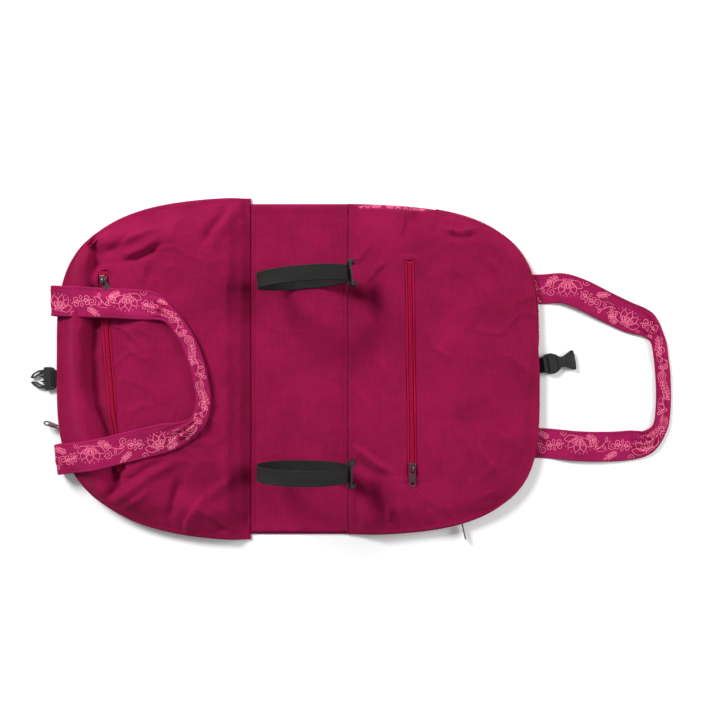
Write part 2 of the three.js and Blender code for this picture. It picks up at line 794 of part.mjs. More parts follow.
// The slider of an edge zip stands on the wall's outer face, and its pull points out from the bag.
function edgeSlider(label, half, stations, zip) {
  const station = stationAt(stations, zip.slider);
  const { point, outward } = station;
  const [low, high] = wallRoom(half, station);
  const face = wallBulge - wallInset;
  const group = new THREE.Group();
  const travel = new THREE.Vector3().crossVectors(outward, upward);
  group.matrixAutoUpdate = false;
  group.matrix.makeBasis(upward, travel, outward);
  group.matrix.setPosition(point.clone().addScaledVector(outward, face).setZ((low + high) / 2));
  bag.add(group);
  const swing = Math.PI / 2 + zip.pullTurn;
  sliderWithPull(label, group, { swing, twist: zip.pullTwist });
}

function pouch(label, half, pocket, zip) {
  part(`outer_panel_${label}`, outerPanel(half), "printedCotton");
  part(`inner_panel_${label}`, innerPanel(half, pocket), "plainCanvas");
  const stations = edgeStations(half).filter((s) => edgeShare(half, s.u) > shortestBand);
  const [first, last] = [stations[0].share, stations[stations.length - 1].share];
  const zipped = stretch(stations, zip.from, zip.to);
  part(`edge_zip_tape_${label}`, edgeWall(half, zipped), "zipTape");
  part(`edge_zip_coil_${label}`, edgeCoil(half, zipped), "zipTape");
  const upperBand = stretch(stations, first, zip.from - zipToBandSpace);
  const lowerBand = stretch(stations, zip.to + zipToBandSpace, last);
  part(`side_band_${label}_upper`, edgeWall(half, upperBand), "printedCotton");
  part(`side_band_${label}_lower`, edgeWall(half, lowerBand), "printedCotton");
  edgeSlider(`edge_zip_${label}`, half, stations, zip);
  part(`pocket_zip_tape_${label}`, pocketTape(half, pocket), "zipTape");
  part(`pocket_zip_coil_${label}`, pocketCoil(half, pocket), "zipTape");
  pocketSlider(`pocket_zip_${label}`, half, pocket);
}

// The base strip joins the two outer panels, and the mat lining lies on it between the pouches.
function base() {
  const [from, to] = [-leftFold + baseSeamSpace, rightFold - baseSeamSpace];
  const length = 2 * baseHalfLength;
  const middle = (from + to) / 2;
  const strip = (stripLength) => block(to - from, stripLength, clothThickness, middle, 0, clothThickness / 2);
  part("outer_base", strip(length), "printedCotton");
  const low = clothThickness + seamGap;
  part("mat_lining", strip(length - 4 * clothThickness).translate(0, 0, low), "plainCanvas");
  return low + clothThickness;
}

// Handles

// A band's section: a flat bar with eased corners.
function bandSection(width, thickness) {
  const [w, t] = [width / 2, thickness / 2];
  const ease = t * 0.6;
  return [
    [-w, -t + ease],
    [-w + ease, -t],
    [w - ease, -t],
    [w, -t + ease],
    [w, t - ease],
    [w - ease, t],
    [-w + ease, t],
    [-w, t - ease],
  ];
}

// Lofts a band along stations that hold a point, a width and a thickness. The band's width stays level.
function bandAlong(stations) {
  let side = null;
  const frames = stations.map(({ point, width, thickness }, i) => {
    const [a, b] = [stations[Math.max(i - 1, 0)].point, stations[Math.min(i + 1, stations.length - 1)].point];
    const along = b.clone().sub(a).normalize();
    const level = Math.hypot(along.x, along.y);
    if (!side || level > leastLevel) {
      const next = new THREE.Vector3(-along.y, along.x, 0).normalize();
      side = side && side.dot(next) < 0 ? next.negate() : next;
    }
    const up = new THREE.Vector3().crossVectors(along, side).normalize();
    return { origin: point, across: side.clone(), up, profile: bandSection(width, thickness) };
  });
  return loft(frames);
}

function routeSamples(half, route, steps) {
  const point = ({ out, side }) => new THREE.Vector3(half.sign * half.reach * out, half.halfLength * side, 0);
  const curve = new THREE.CatmullRomCurve3(route.map(point), false, "centripetal");
  return Array.from({ length: steps + 1 }, (_, i) => {
    const at = (i / steps) * (route.length - 1);
    const k = Math.min(Math.floor(at), route.length - 2);
    const value = (key) => mix(route[k][key], route[k + 1][key], at - k);
    const flat = smooth(value("flat"));
    return {
      point: curve.getPoint(i / steps),
      width: mix(gripWidth, bandWidth, flat),
      thickness: mix(gripThickness, bandThickness, flat),
      bow: value("rise") * bandWidth,
    };
  });
}

// How far the pocket zip and its pull stand above the canvas at a place.
function zipClutter(half, pocket, x, y) {
  const turn = pocket.lean + pocket.pullYaw;
  const pointing = new THREE.Vector3(Math.sin(turn), -Math.cos(turn), 0);
  const fromSlider = new THREE.Vector3(x, y, 0).sub(pocketSliderPlace(half, pocket).setZ(0));
  const along = fromSlider.dot(pointing);
  const beside = fromSlider.addScaledVector(pointing, -along).length();
  const overPull = along > 0 && along < pullLength + pullTipWidth / 2 && beside < pullTipWidth;
  const pullTop = pivotHeight + pullThickness + seamGap - Math.sin(pocket.pullDroop) * Math.max(0, along);
  const overCoil = pocketFrames(half, pocket).some(({ centre }) => {
    const stationSpace = pocket.length / pocketStations;
    return Math.abs(centre.x - x) < coilWidth && Math.abs(centre.y - y) < stationSpace;
  });
  return Math.max(overPull ? pullTop : 0, overCoil ? coilHeight + 2 * seamGap : 0);
}

// The highest place of an inner face under a band, so that the band lies on its folds.
function restingHeight(half, pocket, { point, width }) {
  const reachAbout = (width + gripWidth / 2) / 2;
  const shares = [-1, -0.75, -0.5, -0.25, 0, 0.25, 0.5, 0.75, 1];
  const heights = shares.flatMap((a) =>
    shares.map((b) => {
      const [x, y] = [point.x + a * reachAbout, point.y + b * reachAbout];
      return innerTopAt(half, x, y) + zipClutter(half, pocket, x, y);
    }),
  );
  return Math.max(...heights);
}

// The band's turn round the pouch's edge, out from its last place on top and back in under the bag.
function wrapStations(half, end, before) {
  const outward = end.point.clone().sub(before.point).setZ(0).normalize();
  const side = new THREE.Vector3(-outward.y, outward.x, 0);
  const clear = [-1, 0, 1].map((s) => {
    const corner = end.point.clone().addScaledVector(side, (s * bandWidth) / 2);
    const edge = planPoint(half, 1, planShares(half, corner.x, corner.y)[1]);
    return Math.abs(edge.x - end.point.x) / Math.abs(outward.x) + clothThickness;
  });
  const edge = Math.max(...clear);
  const [low, high] = [bandThickness / 2, end.point.z];
  const turn = Array.from({ length: wrapSteps + 1 }, (_, i) => {
    const angle = Math.PI * (0.5 - i / wrapSteps);
    const point = end.point.clone().addScaledVector(outward, edge + leftWrap * Math.cos(angle));
    return point.setZ(mix(low, high, 0.5 + Math.sin(angle) / 2));
  });
  const inner = turn[wrapSteps].clone().setX(half.sign * (half.reach - legUnderBag));
  const middle = inner.clone().lerp(turn[wrapSteps], 0.5);
  return [...turn, middle, inner].map((point) => ({ point, width: bandWidth, thickness: bandThickness }));
}

function leftHandle() {
  const over = routeSamples(leftHalf, leftRoute, routeSteps);
  const rests = over.map((s) => restingHeight(leftHalf, leftPocket, s) + seamGap);
  over.forEach((s, i) => {
    const near = rests.slice(Math.max(0, i - 1), i + 2);
    s.point.z = Math.max(...near) + s.thickness / 2 + s.bow;
  });
  const start = wrapStations(leftHalf, over[0], over[1]).reverse();
  const finish = wrapStations(leftHalf, over[over.length - 1], over[over.length - 2]);
  return bandAlong([...start, ...over, ...finish]);
}

function rightHandle() {
  const samples = routeSamples(rightHalf, rightRoute, routeSteps + 8);
  samples.forEach((s) => s.point.setZ(s.thickness / 2 + s.bow));
  return bandAlong(samples);
}

// Mat loops

// A loop round the mat, drawn in X and Z about the mat's axis. It rises over the adjuster's middle bar.
function loopOutline(radius, floor) {
  const points = Array.from({ length: loopSteps }, (_, i) => {
    const angle = (i / loopSteps) * Math.PI * 2;
    const turned = Math.abs(Math.atan2(Math.sin(angle), Math.cos(angle)));
    const hump = adjusterLift * smooth(1 + humpTop - (turned * radius) / (adjusterLength / 2));
    const r = radius + hump;
    return [r * Math.cos(angle), Math.max(r * Math.sin(angle), floor)];
  });
  return points;
}

function matLoop(name, place, yaw, liningTop) {
  const group = new THREE.Group();
  const outer = matRadius + webbingThickness;
  const floor = -outer + loopFlatting;
  group.position.set(matAxisOffset, place, liningTop + seamGap - floor);
  group.rotation.z = yaw;
  bag.add(group);
  const shape = shapeOf(loopOutline(outer, floor));
  shape.holes.push(shapeOf(loopOutline(matRadius, floor + webbingThickness)));
  part(`mat_loop_${name}`, slabAcross(shape, webbingWidth), "webbing", group);
  part(`loop_adjuster_${name}`, adjusterGeometry(), "plastic", group);
}

// The adjuster stands at the loop's side: two outer bars outside the webbing, a middle bar inside it.
function adjusterGeometry() {
  const inner = matRadius + seamGap;
  const railRoom = (adjusterWidth - 2 * adjusterRail) / 2;
  const barLow = matRadius + webbingThickness + 3 * seamGap;
  const barHigh = barLow + adjusterBar;
  const barSpan = adjusterWidth - adjusterRail;
  const ends = [-1, 1].map((s) => {
    const z = s * (adjusterLength / 2 - adjusterBar / 2);
    return block(barHigh - barLow, barSpan, adjusterBar, (barLow + barHigh) / 2, 0, z);
  });
  const middleHigh = matRadius + adjusterLift - 3 * seamGap;
  const middle = block(middleHigh - inner, barSpan, adjusterBar, (inner + middleHigh) / 2, 0, 0);
  const railShape = shapeOf([
    [barLow, -adjusterLength / 2],
    [barHigh - 1, -adjusterLength / 2],
    [barHigh + adjusterBulge, -adjusterLength / 4],
    [barHigh + adjusterBulge, adjusterLength / 4],
    [barHigh - 1, adjusterLength / 2],
    [barLow, adjusterLength / 2],
    [inner, adjusterLength / 4],
    [inner, -adjusterLength / 4],
  ]);
  const rails = [-1, 1].map((s) =>
    slabAcross(railShape, adjusterRail).translate(0, s * (railRoom + adjusterRail / 2), 0),
  );
  return join(...rails, ...ends, middle);
}

// Closing straps and the buckle. Each is drawn pointing along +X from where the strap leaves the bag.

const eyeRadius = crossBarRadius + seamGap + webbingThickness;
const socketThickness = 2 * eyeRadius;

// The webbing runs under the bag, out along the floor, round the buckle's bar and back on itself.
function closureStrap(show) {
  const shape = new THREE.Shape();
  const tuck = show * 0.7;
  shape.moveTo(-closureUnderBag, 0);
  shape.lineTo(show, 0);
  shape.absarc(show, eyeRadius, eyeRadius, -Math.PI / 2, Math.PI / 2, false);
  shape.lineTo(show - 1, 2 * eyeRadius);
  shape.lineTo(show - tuck * 0.5, 2 * webbingThickness);
  shape.lineTo(show - tuck, 2 * webbingThickness);
  shape.lineTo(show - tuck, webbingThickness);
  shape.lineTo(-closureUnderBag, webbingThickness);
  const hole = new THREE.Path();
  hole.absarc(show, eyeRadius, crossBarRadius + seamGap, 0, Math.PI * 2, true);
  shape.holes.push(hole);
  return slabAcross(shape, webbingWidth);
}

function crossBar(width, x) {
  const bar = new THREE.CylinderGeometry(crossBarRadius, crossBarRadius, width, 10);
  return bar.translate(x, 0, eyeRadius);
}

// The window that the webbing's eye turns in, at the strap's end of either buckle half.
function eyeWindow(show) {
  const room = eyeRadius + 2 * seamGap;
  return block(2 * room, webbingWidth + 4 * seamGap, 6 * eyeRadius, show, 0, eyeRadius);
}

// The socket: a frame for the webbing, a waist, and a flared mouth that the plug slides into.
function socketGeometry(show) {
  const w = buckleWidth / 2;
  const start = show - crossBarRadius;
  const at = (share) => start + share * socketLength;
  const half = [
    [at(0), w * 0.72],
    [at(0.08), w * 0.98],
    [at(0.24), w],
    [at(0.4), w * 0.78],
    [at(0.52), w * 0.52],
    [at(0.64), w * 0.52],
    [at(0.78), w * 0.72],
    [at(0.94), w],
    [at(0.98), w * 0.92],
  ];
  const mouth = [[at(1), w * 0.35]];
  const mirrored = [...half, ...mouth].reverse().map(([x, y]) => [x, -y]);
  const low = eyeRadius - socketThickness / 2;
  const body = plate(shapeOf([...half, ...mouth, ...mirrored]), socketThickness).translate(0, 0, low);
  const bore = socketThickness - 2 * socketWall;
  const depth = socketLength * 0.5;
  const cavity = block(depth * 2, buckleWidth - 4 * socketWall, bore, at(0.52) + depth, 0, eyeRadius);
  const thinnedMiddle = eyeRadius + socketThickness * 0.78;
  const thinned = block(socketLength * 0.3, buckleWidth * 2, socketThickness, at(0.1), 0, thinnedMiddle);
  return join(cut(body, cavity, eyeWindow(show), thinned), crossBar(buckleWidth - 2, show));
}

// The plug: a frame for the webbing, two springy looped arms and two short guides.
function plugGeometry(show) {
  const w = plugFrameWidth / 2;
  const start = show - crossBarRadius;
  const end = start + plugFrameLength;
  const frame = shapeOf([
    [start, w * 0.7],
    [start + plugShoulder, w * 0.95],
    [end - 1, w],
    [end, w * 0.9],
    [end, -w * 0.9],
    [end - 1, -w],
    [start + plugShoulder, -w * 0.95],
    [start, -w * 0.7],
  ]);
  const arm = (s) => {
    const outline = shapeOf([
      [end - 1, s * w * 0.82],
      [end + plugArmLength * 0.4, s * w * 0.8],
      [end + plugArmLength * 0.8, s * w * 0.55],
      [end + plugArmLength, s * w * 0.22],
      [end + plugArmLength * 0.92, s * w * 0.12],
      [end + plugArmLength * 0.6, s * w * 0.2],
      [end + plugArmLength * 0.3, s * w * 0.5],
      [end - 1, s * w * 0.62],
    ]);
    outline.holes.push(
      shapeOf([
        [end + plugArmLength * 0.42, s * w * 0.64],
        [end + plugArmLength * 0.72, s * w * 0.46],
        [end + plugArmLength * 0.8, s * w * 0.26],
        [end + plugArmLength * 0.62, s * w * 0.34],
      ]),
    );
    return plate(outline, plugThickness * 0.7).translate(0, 0, plugThickness * 0.15);
  };
  const guide = (s) => {
    const outline = shapeOf([
      [end - 1, s * w * 0.34],
      [end + plugArmLength * 0.36, s * w * 0.2],
      [end - 1, s * w * 0.08],
    ]);
    return plate(outline, plugThickness * 0.7).translate(0, 0, plugThickness * 0.15);
  };
  const pieces = [plate(frame, plugThickness), ...[-1, 1].map(arm), ...[-1, 1].map(guide)];
  const low = eyeRadius - plugThickness / 2;
  const body = join(...pieces.map((g) => g.translate(0, 0, low)));
  const topOpen = block(plugFrameLength, buckleWidth, plugThickness, start, 0, eyeRadius + plugThickness * 0.75);
  return join(cut(body, eyeWindow(show), topOpen), crossBar(plugFrameWidth - plugShoulder, show));
}

function closure(half, index, tilt, show, label, geometry) {
  const { place } = half.strips[index];
  const edge = planPoint(half, 1, place);
  const group = new THREE.Group();
  group.position.set(edge.x, edge.y, 0);
  group.rotation.z = half.sign > 0 ? tilt : Math.PI + tilt;
  bag.add(group);
  part(`closure_strap_${label}`, closureStrap(show), "webbing", group);
  part(`buckle_${label}`, geometry, "plastic", group);
}

pouch("left", leftHalf, leftPocket, leftEdgeZip);
pouch("right", rightHalf, rightPocket, rightEdgeZip);
const liningTop = base();
part("handle_left", leftHandle(), "printedCotton");
part("handle_right", rightHandle(), "printedCotton");
matLoop("upper", upperLoopPlace, 0.09, liningTop);
matLoop("lower", lowerLoopPlace, -0.02, liningTop);
closure(rightHalf, 1, socketTilt, socketStrapShow, "socket", socketGeometry(socketStrapShow));
closure(leftHalf, 1, plugTilt, plugStrapShow, "plug", plugGeometry(plugStrapShow));

export default bag;
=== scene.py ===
"""A yoga mat bag, unbuckled and laid open with its lining side up.

Sizes are in millimetres. They become metres where a mesh is made. Places on a half are given as shares:
u out from the middle of the bag to the far edge, and v along it from the lower end to the upper one.
"""

from __future__ import annotations

import logging
import math
from dataclasses import dataclass, field
from enum import Enum
from typing import Any, Callable, Iterable, Sequence

import bmesh
import bpy
import numpy as np
from mathutils import Matrix, Vector, noise

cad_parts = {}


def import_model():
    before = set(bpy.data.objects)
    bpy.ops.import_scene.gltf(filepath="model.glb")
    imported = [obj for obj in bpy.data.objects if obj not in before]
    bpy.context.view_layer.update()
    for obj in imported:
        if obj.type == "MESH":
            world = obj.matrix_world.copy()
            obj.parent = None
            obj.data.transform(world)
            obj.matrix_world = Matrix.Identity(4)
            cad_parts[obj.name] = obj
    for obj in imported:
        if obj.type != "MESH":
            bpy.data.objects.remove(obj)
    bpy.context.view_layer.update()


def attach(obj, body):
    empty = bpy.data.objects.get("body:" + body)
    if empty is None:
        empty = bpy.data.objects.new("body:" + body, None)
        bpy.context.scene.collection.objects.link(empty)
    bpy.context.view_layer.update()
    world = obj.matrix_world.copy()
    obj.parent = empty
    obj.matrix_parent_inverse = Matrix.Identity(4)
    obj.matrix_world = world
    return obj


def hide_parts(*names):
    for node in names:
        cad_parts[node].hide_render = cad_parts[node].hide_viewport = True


MM = 0.001
BODY = "bag"
COIL_PITCH = 1.75
ZIP_TURN = 0.088
LOG = logging.getLogger("yoga_mat_bag")

Array = np.ndarray
Colour = tuple[float, float, float]
Point = tuple[float, float]
Mesh = tuple[Array, list[list[int]]]
Lay = Callable[[Array], tuple[Array, Array]]
UP = np.array([0.0, 0.0, 1.0])


def smooth(t: Array | float) -> Array:
    """Ease from 0 to 1, flat at both ends."""
    s = np.clip(t, 0.0, 1.0)
    return s * s * (3.0 - 2.0 * s)


def mix(a: Any, b: Any, t: Any) -> Any:
    """Return the value a share t of the way from a to b."""
    return a + (b - a) * t


def bump(t: Array, middle: float, width: float) -> Array:
    """Return a bell of height 1 round a middle."""
    return np.exp(-(((t - middle) / width) ** 2))


def unit(v: Array) -> Array:
    """Scale vectors to length 1 along their last axis."""
    return v / np.maximum(np.linalg.norm(v, axis=-1, keepdims=True), 1e-12)


def lines_through(breaks: Iterable[float], step: float) -> Array:
    """Place grid lines that keep every break.

    Args:
        breaks: values that must be lines.
        step: the widest space between two lines.

    Returns:
        The sorted lines.
    """
    marks = sorted(set(breaks))
    lines = [marks[0]]
    for start, end in zip(marks, marks[1:]):
        count = max(1, math.ceil((end - start) / step - 1e-6))
        lines.extend(mix(start, end, k / count) for k in range(1, count + 1))
    return np.array(lines)


def spread(values: Array, reach: int) -> Array:
    """Take the highest value within a reach along both axes of a grid."""
    wide = values.copy()
    for axis in (0, 1):
        source = wide.copy()
        for shift in range(-reach, reach + 1):
            index = np.clip(np.arange(values.shape[axis]) + shift, 0, values.shape[axis] - 1)
            wide = np.maximum(wide, np.take(source, index, axis=axis))
    return wide


def blur(values: Array, reach: int, rounds: int = 2) -> Array:
    """Average a grid over a reach along its first axis, some rounds."""
    soft = values
    for _ in range(rounds):
        index = [np.clip(np.arange(len(soft)) + s, 0, len(soft) - 1) for s in range(-reach, reach + 1)]
        soft = np.mean([soft[i] for i in index], axis=0)
    return soft


class Slot(Enum):
    """The record's material slots."""

    PRINTED_COTTON = "printed_cotton"
    PLAIN_CANVAS = "plain_canvas"
    ZIP_TAPE = "zip_tape"
    ZIP_COIL = "zip_coil"
    GUNMETAL = "gunmetal"
    BLACK_WEBBING = "black_webbing"
    BLACK_PLASTIC = "black_plastic"


class NodePad:
    """A material's node tree, written one node at a time."""

    def __init__(self, name: str) -> None:
        """Start an empty tree for a material of this name."""
        self.material = bpy.data.materials.new(name)
        self.material.use_nodes = True
        self.tree = self.material.node_tree
        self.tree.nodes.clear()

    def node(self, kind: str, inputs: dict[Any, Any] | None = None, **settings: Any) -> bpy.types.Node:
        """Add a node.

        Args:
            kind: the node's type.
            inputs: a value or an output socket for each named or numbered input.
            settings: the node's own properties.

        Returns:
            The new node.
        """
        made = self.tree.nodes.new(kind)
        for key, value in settings.items():
            setattr(made, key, value)
        for key, value in (inputs or {}).items():
            if isinstance(value, bpy.types.NodeSocket):
                self.tree.links.new(value, made.inputs[key])
            else:
                made.inputs[key].default_value = value
        return made

    def place(self) -> bpy.types.NodeSocket:
        """Return the place on the object, in metres."""
        return self.node("ShaderNodeTexCoord").outputs["Object"]

    def strip(self) -> bpy.types.NodeSocket:
        """Return the place on a strip, along it and across it, in metres."""
        return self.node("ShaderNodeUVMap", uv_map="strip").outputs["UV"]

    def math(self, operation: str, *values: Any) -> bpy.types.NodeSocket:
        """Join values by one arithmetic step and return its result."""
        return self.node("ShaderNodeMath", dict(enumerate(values)), operation=operation).outputs[0]

    def bands(self, place: bpy.types.NodeSocket, period: float, way: str) -> bpy.types.NodeSocket:
        """Return waves of a period in millimetres across a place."""
        inputs = {"Vector": place, "Scale": 2 * math.pi / (20 * period * MM), "Distortion": 0.0}
        return self.node("ShaderNodeTexWave", inputs, bands_direction=way).outputs["Fac"]

    def cloud(self, place: bpy.types.NodeSocket, size: float, detail: float = 3.0) -> bpy.types.NodeSocket:
        """Return soft noise whose features are about a size in millimetres."""
        inputs = {"Vector": place, "Scale": 1 / (size * MM), "Detail": detail, "Roughness": 0.55}
        return self.node("ShaderNodeTexNoise", inputs).outputs["Fac"]

    def stretch(self, place: bpy.types.NodeSocket, scale: Colour) -> bpy.types.NodeSocket:
        """Scale a place along its three axes."""
        return self.node("ShaderNodeMapping", {"Vector": place, "Scale": scale}).outputs[0]

    def ramp(self, factor: bpy.types.NodeSocket, low: float, high: float) -> bpy.types.NodeSocket:
        """Map a factor's stretch from low to high onto 0 to 1."""
        inputs = {"Value": factor, "From Min": low, "From Max": high}
        return self.node("ShaderNodeMapRange", inputs, clamp=True).outputs[0]

    def blend(self, factor: bpy.types.NodeSocket, a: Any, b: Any) -> bpy.types.NodeSocket:
        """Mix two colours, each a colour or a socket."""
        made = self.node("ShaderNodeMix", {0: factor}, data_type="RGBA")
        for slot, value in ((6, a), (7, b)):
            if isinstance(value, bpy.types.NodeSocket):
                self.tree.links.new(value, made.inputs[slot])
            else:
                made.inputs[slot].default_value = (*value, 1.0)
        return made.outputs[2]

    def finish(
        self,
        colour: bpy.types.NodeSocket,
        roughness: Any,
        height: bpy.types.NodeSocket,
        depth: float,
        **uniform: Any,
    ) -> bpy.types.Material:
        """Close the tree with its shader.

        Args:
            colour: the colour over the surface.
            roughness: a number or a socket.
            height: the bump's height over the surface, from 0 to 1.
            depth: the bump's depth in millimetres.
            uniform: values set on the shader's own sockets.

        Returns:
            The finished material.
        """
        bump = self.node("ShaderNodeBump", {"Height": height, "Distance": depth * MM, "Strength": 1.0})
        inputs = {"Base Color": colour, "Roughness": roughness, "Normal": bump.outputs[0]}
        inputs.update({key.replace("_", " "): value for key, value in uniform.items()})
        shader = self.node("ShaderNodeBsdfPrincipled", inputs)
        self.node("ShaderNodeOutputMaterial", {"Surface": shader.outputs[0]})
        return self.material


@dataclass(frozen=True)
class WovenCloth:
    """A plain-woven cotton: two crossing threads, slubs along both, and patches of fading."""

    name: str
    light: Colour
    dark: Colour
    thread: float
    relief: float
    sheen: float = 0.02
    roughness: float = 0.9

    def material(self) -> bpy.types.Material:
        """Return the cloth's material."""
        pad = NodePad(self.name)
        place = pad.place()
        warp = pad.bands(place, self.thread, "X")
        weft = pad.bands(place, self.thread, "Y")
        weave = pad.math("MULTIPLY", pad.math("SUBTRACT", warp, 0.5), pad.math("SUBTRACT", weft, 0.5))
        weave = pad.math("ADD", pad.math("MULTIPLY", weave, 2.0), 0.5)
        warp_slubs = pad.cloud(pad.stretch(place, (1, 0.06, 1)), 1.4)
        weft_slubs = pad.cloud(pad.stretch(place, (0.06, 1, 1)), 1.4)
        slubs = pad.math("MULTIPLY", pad.math("ADD", warp_slubs, weft_slubs), 0.5)
        patches = pad.cloud(place, 60.0, 2.0)
        fading = pad.math("ADD", pad.math("MULTIPLY", slubs, 0.7), pad.math("MULTIPLY", patches, 0.5))
        fading = pad.ramp(fading, 0.38, 0.82)
        tone = pad.blend(fading, self.dark, self.light)
        threads = pad.math("ADD", pad.math("MULTIPLY", weave, 0.22), 0.89)
        shade = pad.node("ShaderNodeCombineColor", {0: threads, 1: threads, 2: threads}).outputs[0]
        layers = {0: 1.0, 6: tone, 7: shade}
        colour = pad.node("ShaderNodeMix", layers, data_type="RGBA", blend_type="MULTIPLY")
        height = pad.math("ADD", pad.math("MULTIPLY", weave, 0.6), pad.math("MULTIPLY", slubs, 0.9))
        rough = pad.math("ADD", pad.math("MULTIPLY", slubs, 0.12), self.roughness - 0.06)
        return pad.finish(
            colour.outputs[2],
            rough,
            height,
            self.relief,
            Sheen_Weight=self.sheen,
            Sheen_Roughness=0.45,
            Specular_IOR_Level=0.06,
        )


@dataclass(frozen=True)
class WovenStrip:
    """A narrow woven strip, with a herringbone that turns at its middle and firmer edges."""

    name: str
    light: Colour
    dark: Colour
    rib: float
    relief: float
    roughness: float = 0.7

    def material(self) -> bpy.types.Material:
        """Return the strip's material."""
        pad = NodePad(self.name)
        strip = pad.strip()
        parts = pad.node("ShaderNodeSeparateXYZ", {0: strip})
        folded = pad.math("ABSOLUTE", parts.outputs[1])
        slant = pad.math("ADD", parts.outputs[0], folded)
        ribs = pad.bands(pad.node("ShaderNodeCombineXYZ", {0: slant}).outputs[0], self.rib, "X")
        cross = pad.bands(pad.node("ShaderNodeCombineXYZ", {0: folded}).outputs[0], self.rib, "X")
        fuzz = pad.cloud(pad.place(), 2.0)
        height = pad.math("ADD", pad.math("MULTIPLY", ribs, 0.6), pad.math("MULTIPLY", cross, 0.4))
        factor = pad.math("ADD", pad.math("MULTIPLY", height, 0.55), pad.math("MULTIPLY", fuzz, 0.6))
        colour = pad.blend(pad.ramp(factor, 0.2, 0.95), self.dark, self.light)
        return pad.finish(colour, self.roughness, height, self.relief, Specular_IOR_Level=0.1)


@dataclass(frozen=True)
class PrintInk:
    """The lighter lines of a print, with a little of the cloth's weave showing through."""

    name: str
    light: Colour
    dark: Colour

    def material(self) -> bpy.types.Material:
        """Return the ink's material."""
        pad = NodePad(self.name)
        place = pad.place()
        grain = pad.cloud(place, 1.2)
        worn = pad.cloud(place, 14.0)
        factor = pad.math("ADD", pad.math("MULTIPLY", grain, 0.6), pad.math("MULTIPLY", worn, 0.6))
        colour = pad.blend(pad.ramp(factor, 0.35, 0.8), self.dark, self.light)
        return pad.finish(colour, 0.85, grain, 0.05, Specular_IOR_Level=0.15)


@dataclass(frozen=True)
class CoilNylon:
    """The moulded nylon of a zip's teeth."""

    name: str
    light: Colour
    dark: Colour

    def material(self) -> bpy.types.Material:
        """Return the nylon's material."""
        pad = NodePad(self.name)
        grain = pad.cloud(pad.place(), 3.0)
        colour = pad.blend(grain, self.dark, self.light)
        return pad.finish(colour, 0.5, grain, 0.04, Specular_IOR_Level=0.12)


@dataclass(frozen=True)
class WornMetal:
    """A plated metal with fine scratches and duller, worn places."""

    name: str
    light: Colour
    dark: Colour

    def material(self) -> bpy.types.Material:
        """Return the metal's material."""
        pad = NodePad(self.name)
        place = pad.place()
        scratches = pad.cloud(pad.stretch(place, (1.0, 0.08, 1.0)), 0.5, 4.0)
        wear = pad.cloud(place, 5.0)
        colour = pad.blend(wear, self.dark, self.light)
        rough = pad.math("ADD", pad.math("MULTIPLY", wear, 0.25), pad.math("MULTIPLY", scratches, 0.2))
        return pad.finish(colour, rough, scratches, 0.02, Metallic=1.0)


@dataclass(frozen=True)
class MouldedPlastic:
    """A moulded plastic with a fine matt grain and slightly polished places."""

    name: str
    light: Colour
    dark: Colour

    def material(self) -> bpy.types.Material:
        """Return the plastic's material."""
        pad = NodePad(self.name)
        place = pad.place()
        grain = pad.cloud(place, 0.6, 2.0)
        handled = pad.cloud(place, 9.0)
        colour = pad.blend(handled, self.dark, self.light)
        rough = pad.math("ADD", pad.math("MULTIPLY", handled, 0.2), 0.40)
        return pad.finish(colour, rough, grain, 0.03, Specular_IOR_Level=0.28)


class Finishes:
    """The bag's finishes, each made once."""

    canvas = WovenCloth("plain_canvas", (0.300, 0.0066, 0.062), (0.165, 0.0038, 0.030), 0.95, 0.24)
    cotton = WovenCloth("printed_cotton", (0.360, 0.0120, 0.095), (0.200, 0.0060, 0.045), 0.6, 0.12)
    ink = PrintInk("print_lines", (0.80, 0.185, 0.310), (0.66, 0.110, 0.210))
    tape = WovenStrip("zip_tape", (0.40, 0.0040, 0.052), (0.22, 0.0020, 0.026), 0.7, 0.12)
    coil = CoilNylon("zip_coil", (0.42, 0.0040, 0.052), (0.25, 0.0025, 0.030))
    metal = WornMetal("gunmetal", (0.30, 0.18, 0.22), (0.13, 0.07, 0.09))
    webbing = WovenStrip("black_webbing", (0.026, 0.025, 0.024), (0.008,) * 3, 1.6, 0.35, 0.62)
    plastic = MouldedPlastic("black_plastic", (0.020, 0.020, 0.021), (0.010, 0.010, 0.011))
    canvas_thread = WovenCloth("canvas_thread", (0.30, 0.008, 0.060), (0.17, 0.004, 0.032), 0.4, 0.05)
    dark_thread = WovenCloth("dark_thread", (0.030, 0.029, 0.028), (0.012, 0.012, 0.012), 0.4, 0.05)

    def __init__(self) -> None:
        """Start with no material made."""
        self.made: dict[str, bpy.types.Material] = {}

    def of(self, finish: Any) -> bpy.types.Material:
        """Return a finish's material, made at its first use."""
        if finish.name not in self.made:
            self.made[finish.name] = finish.material()
        return self.made[finish.name]


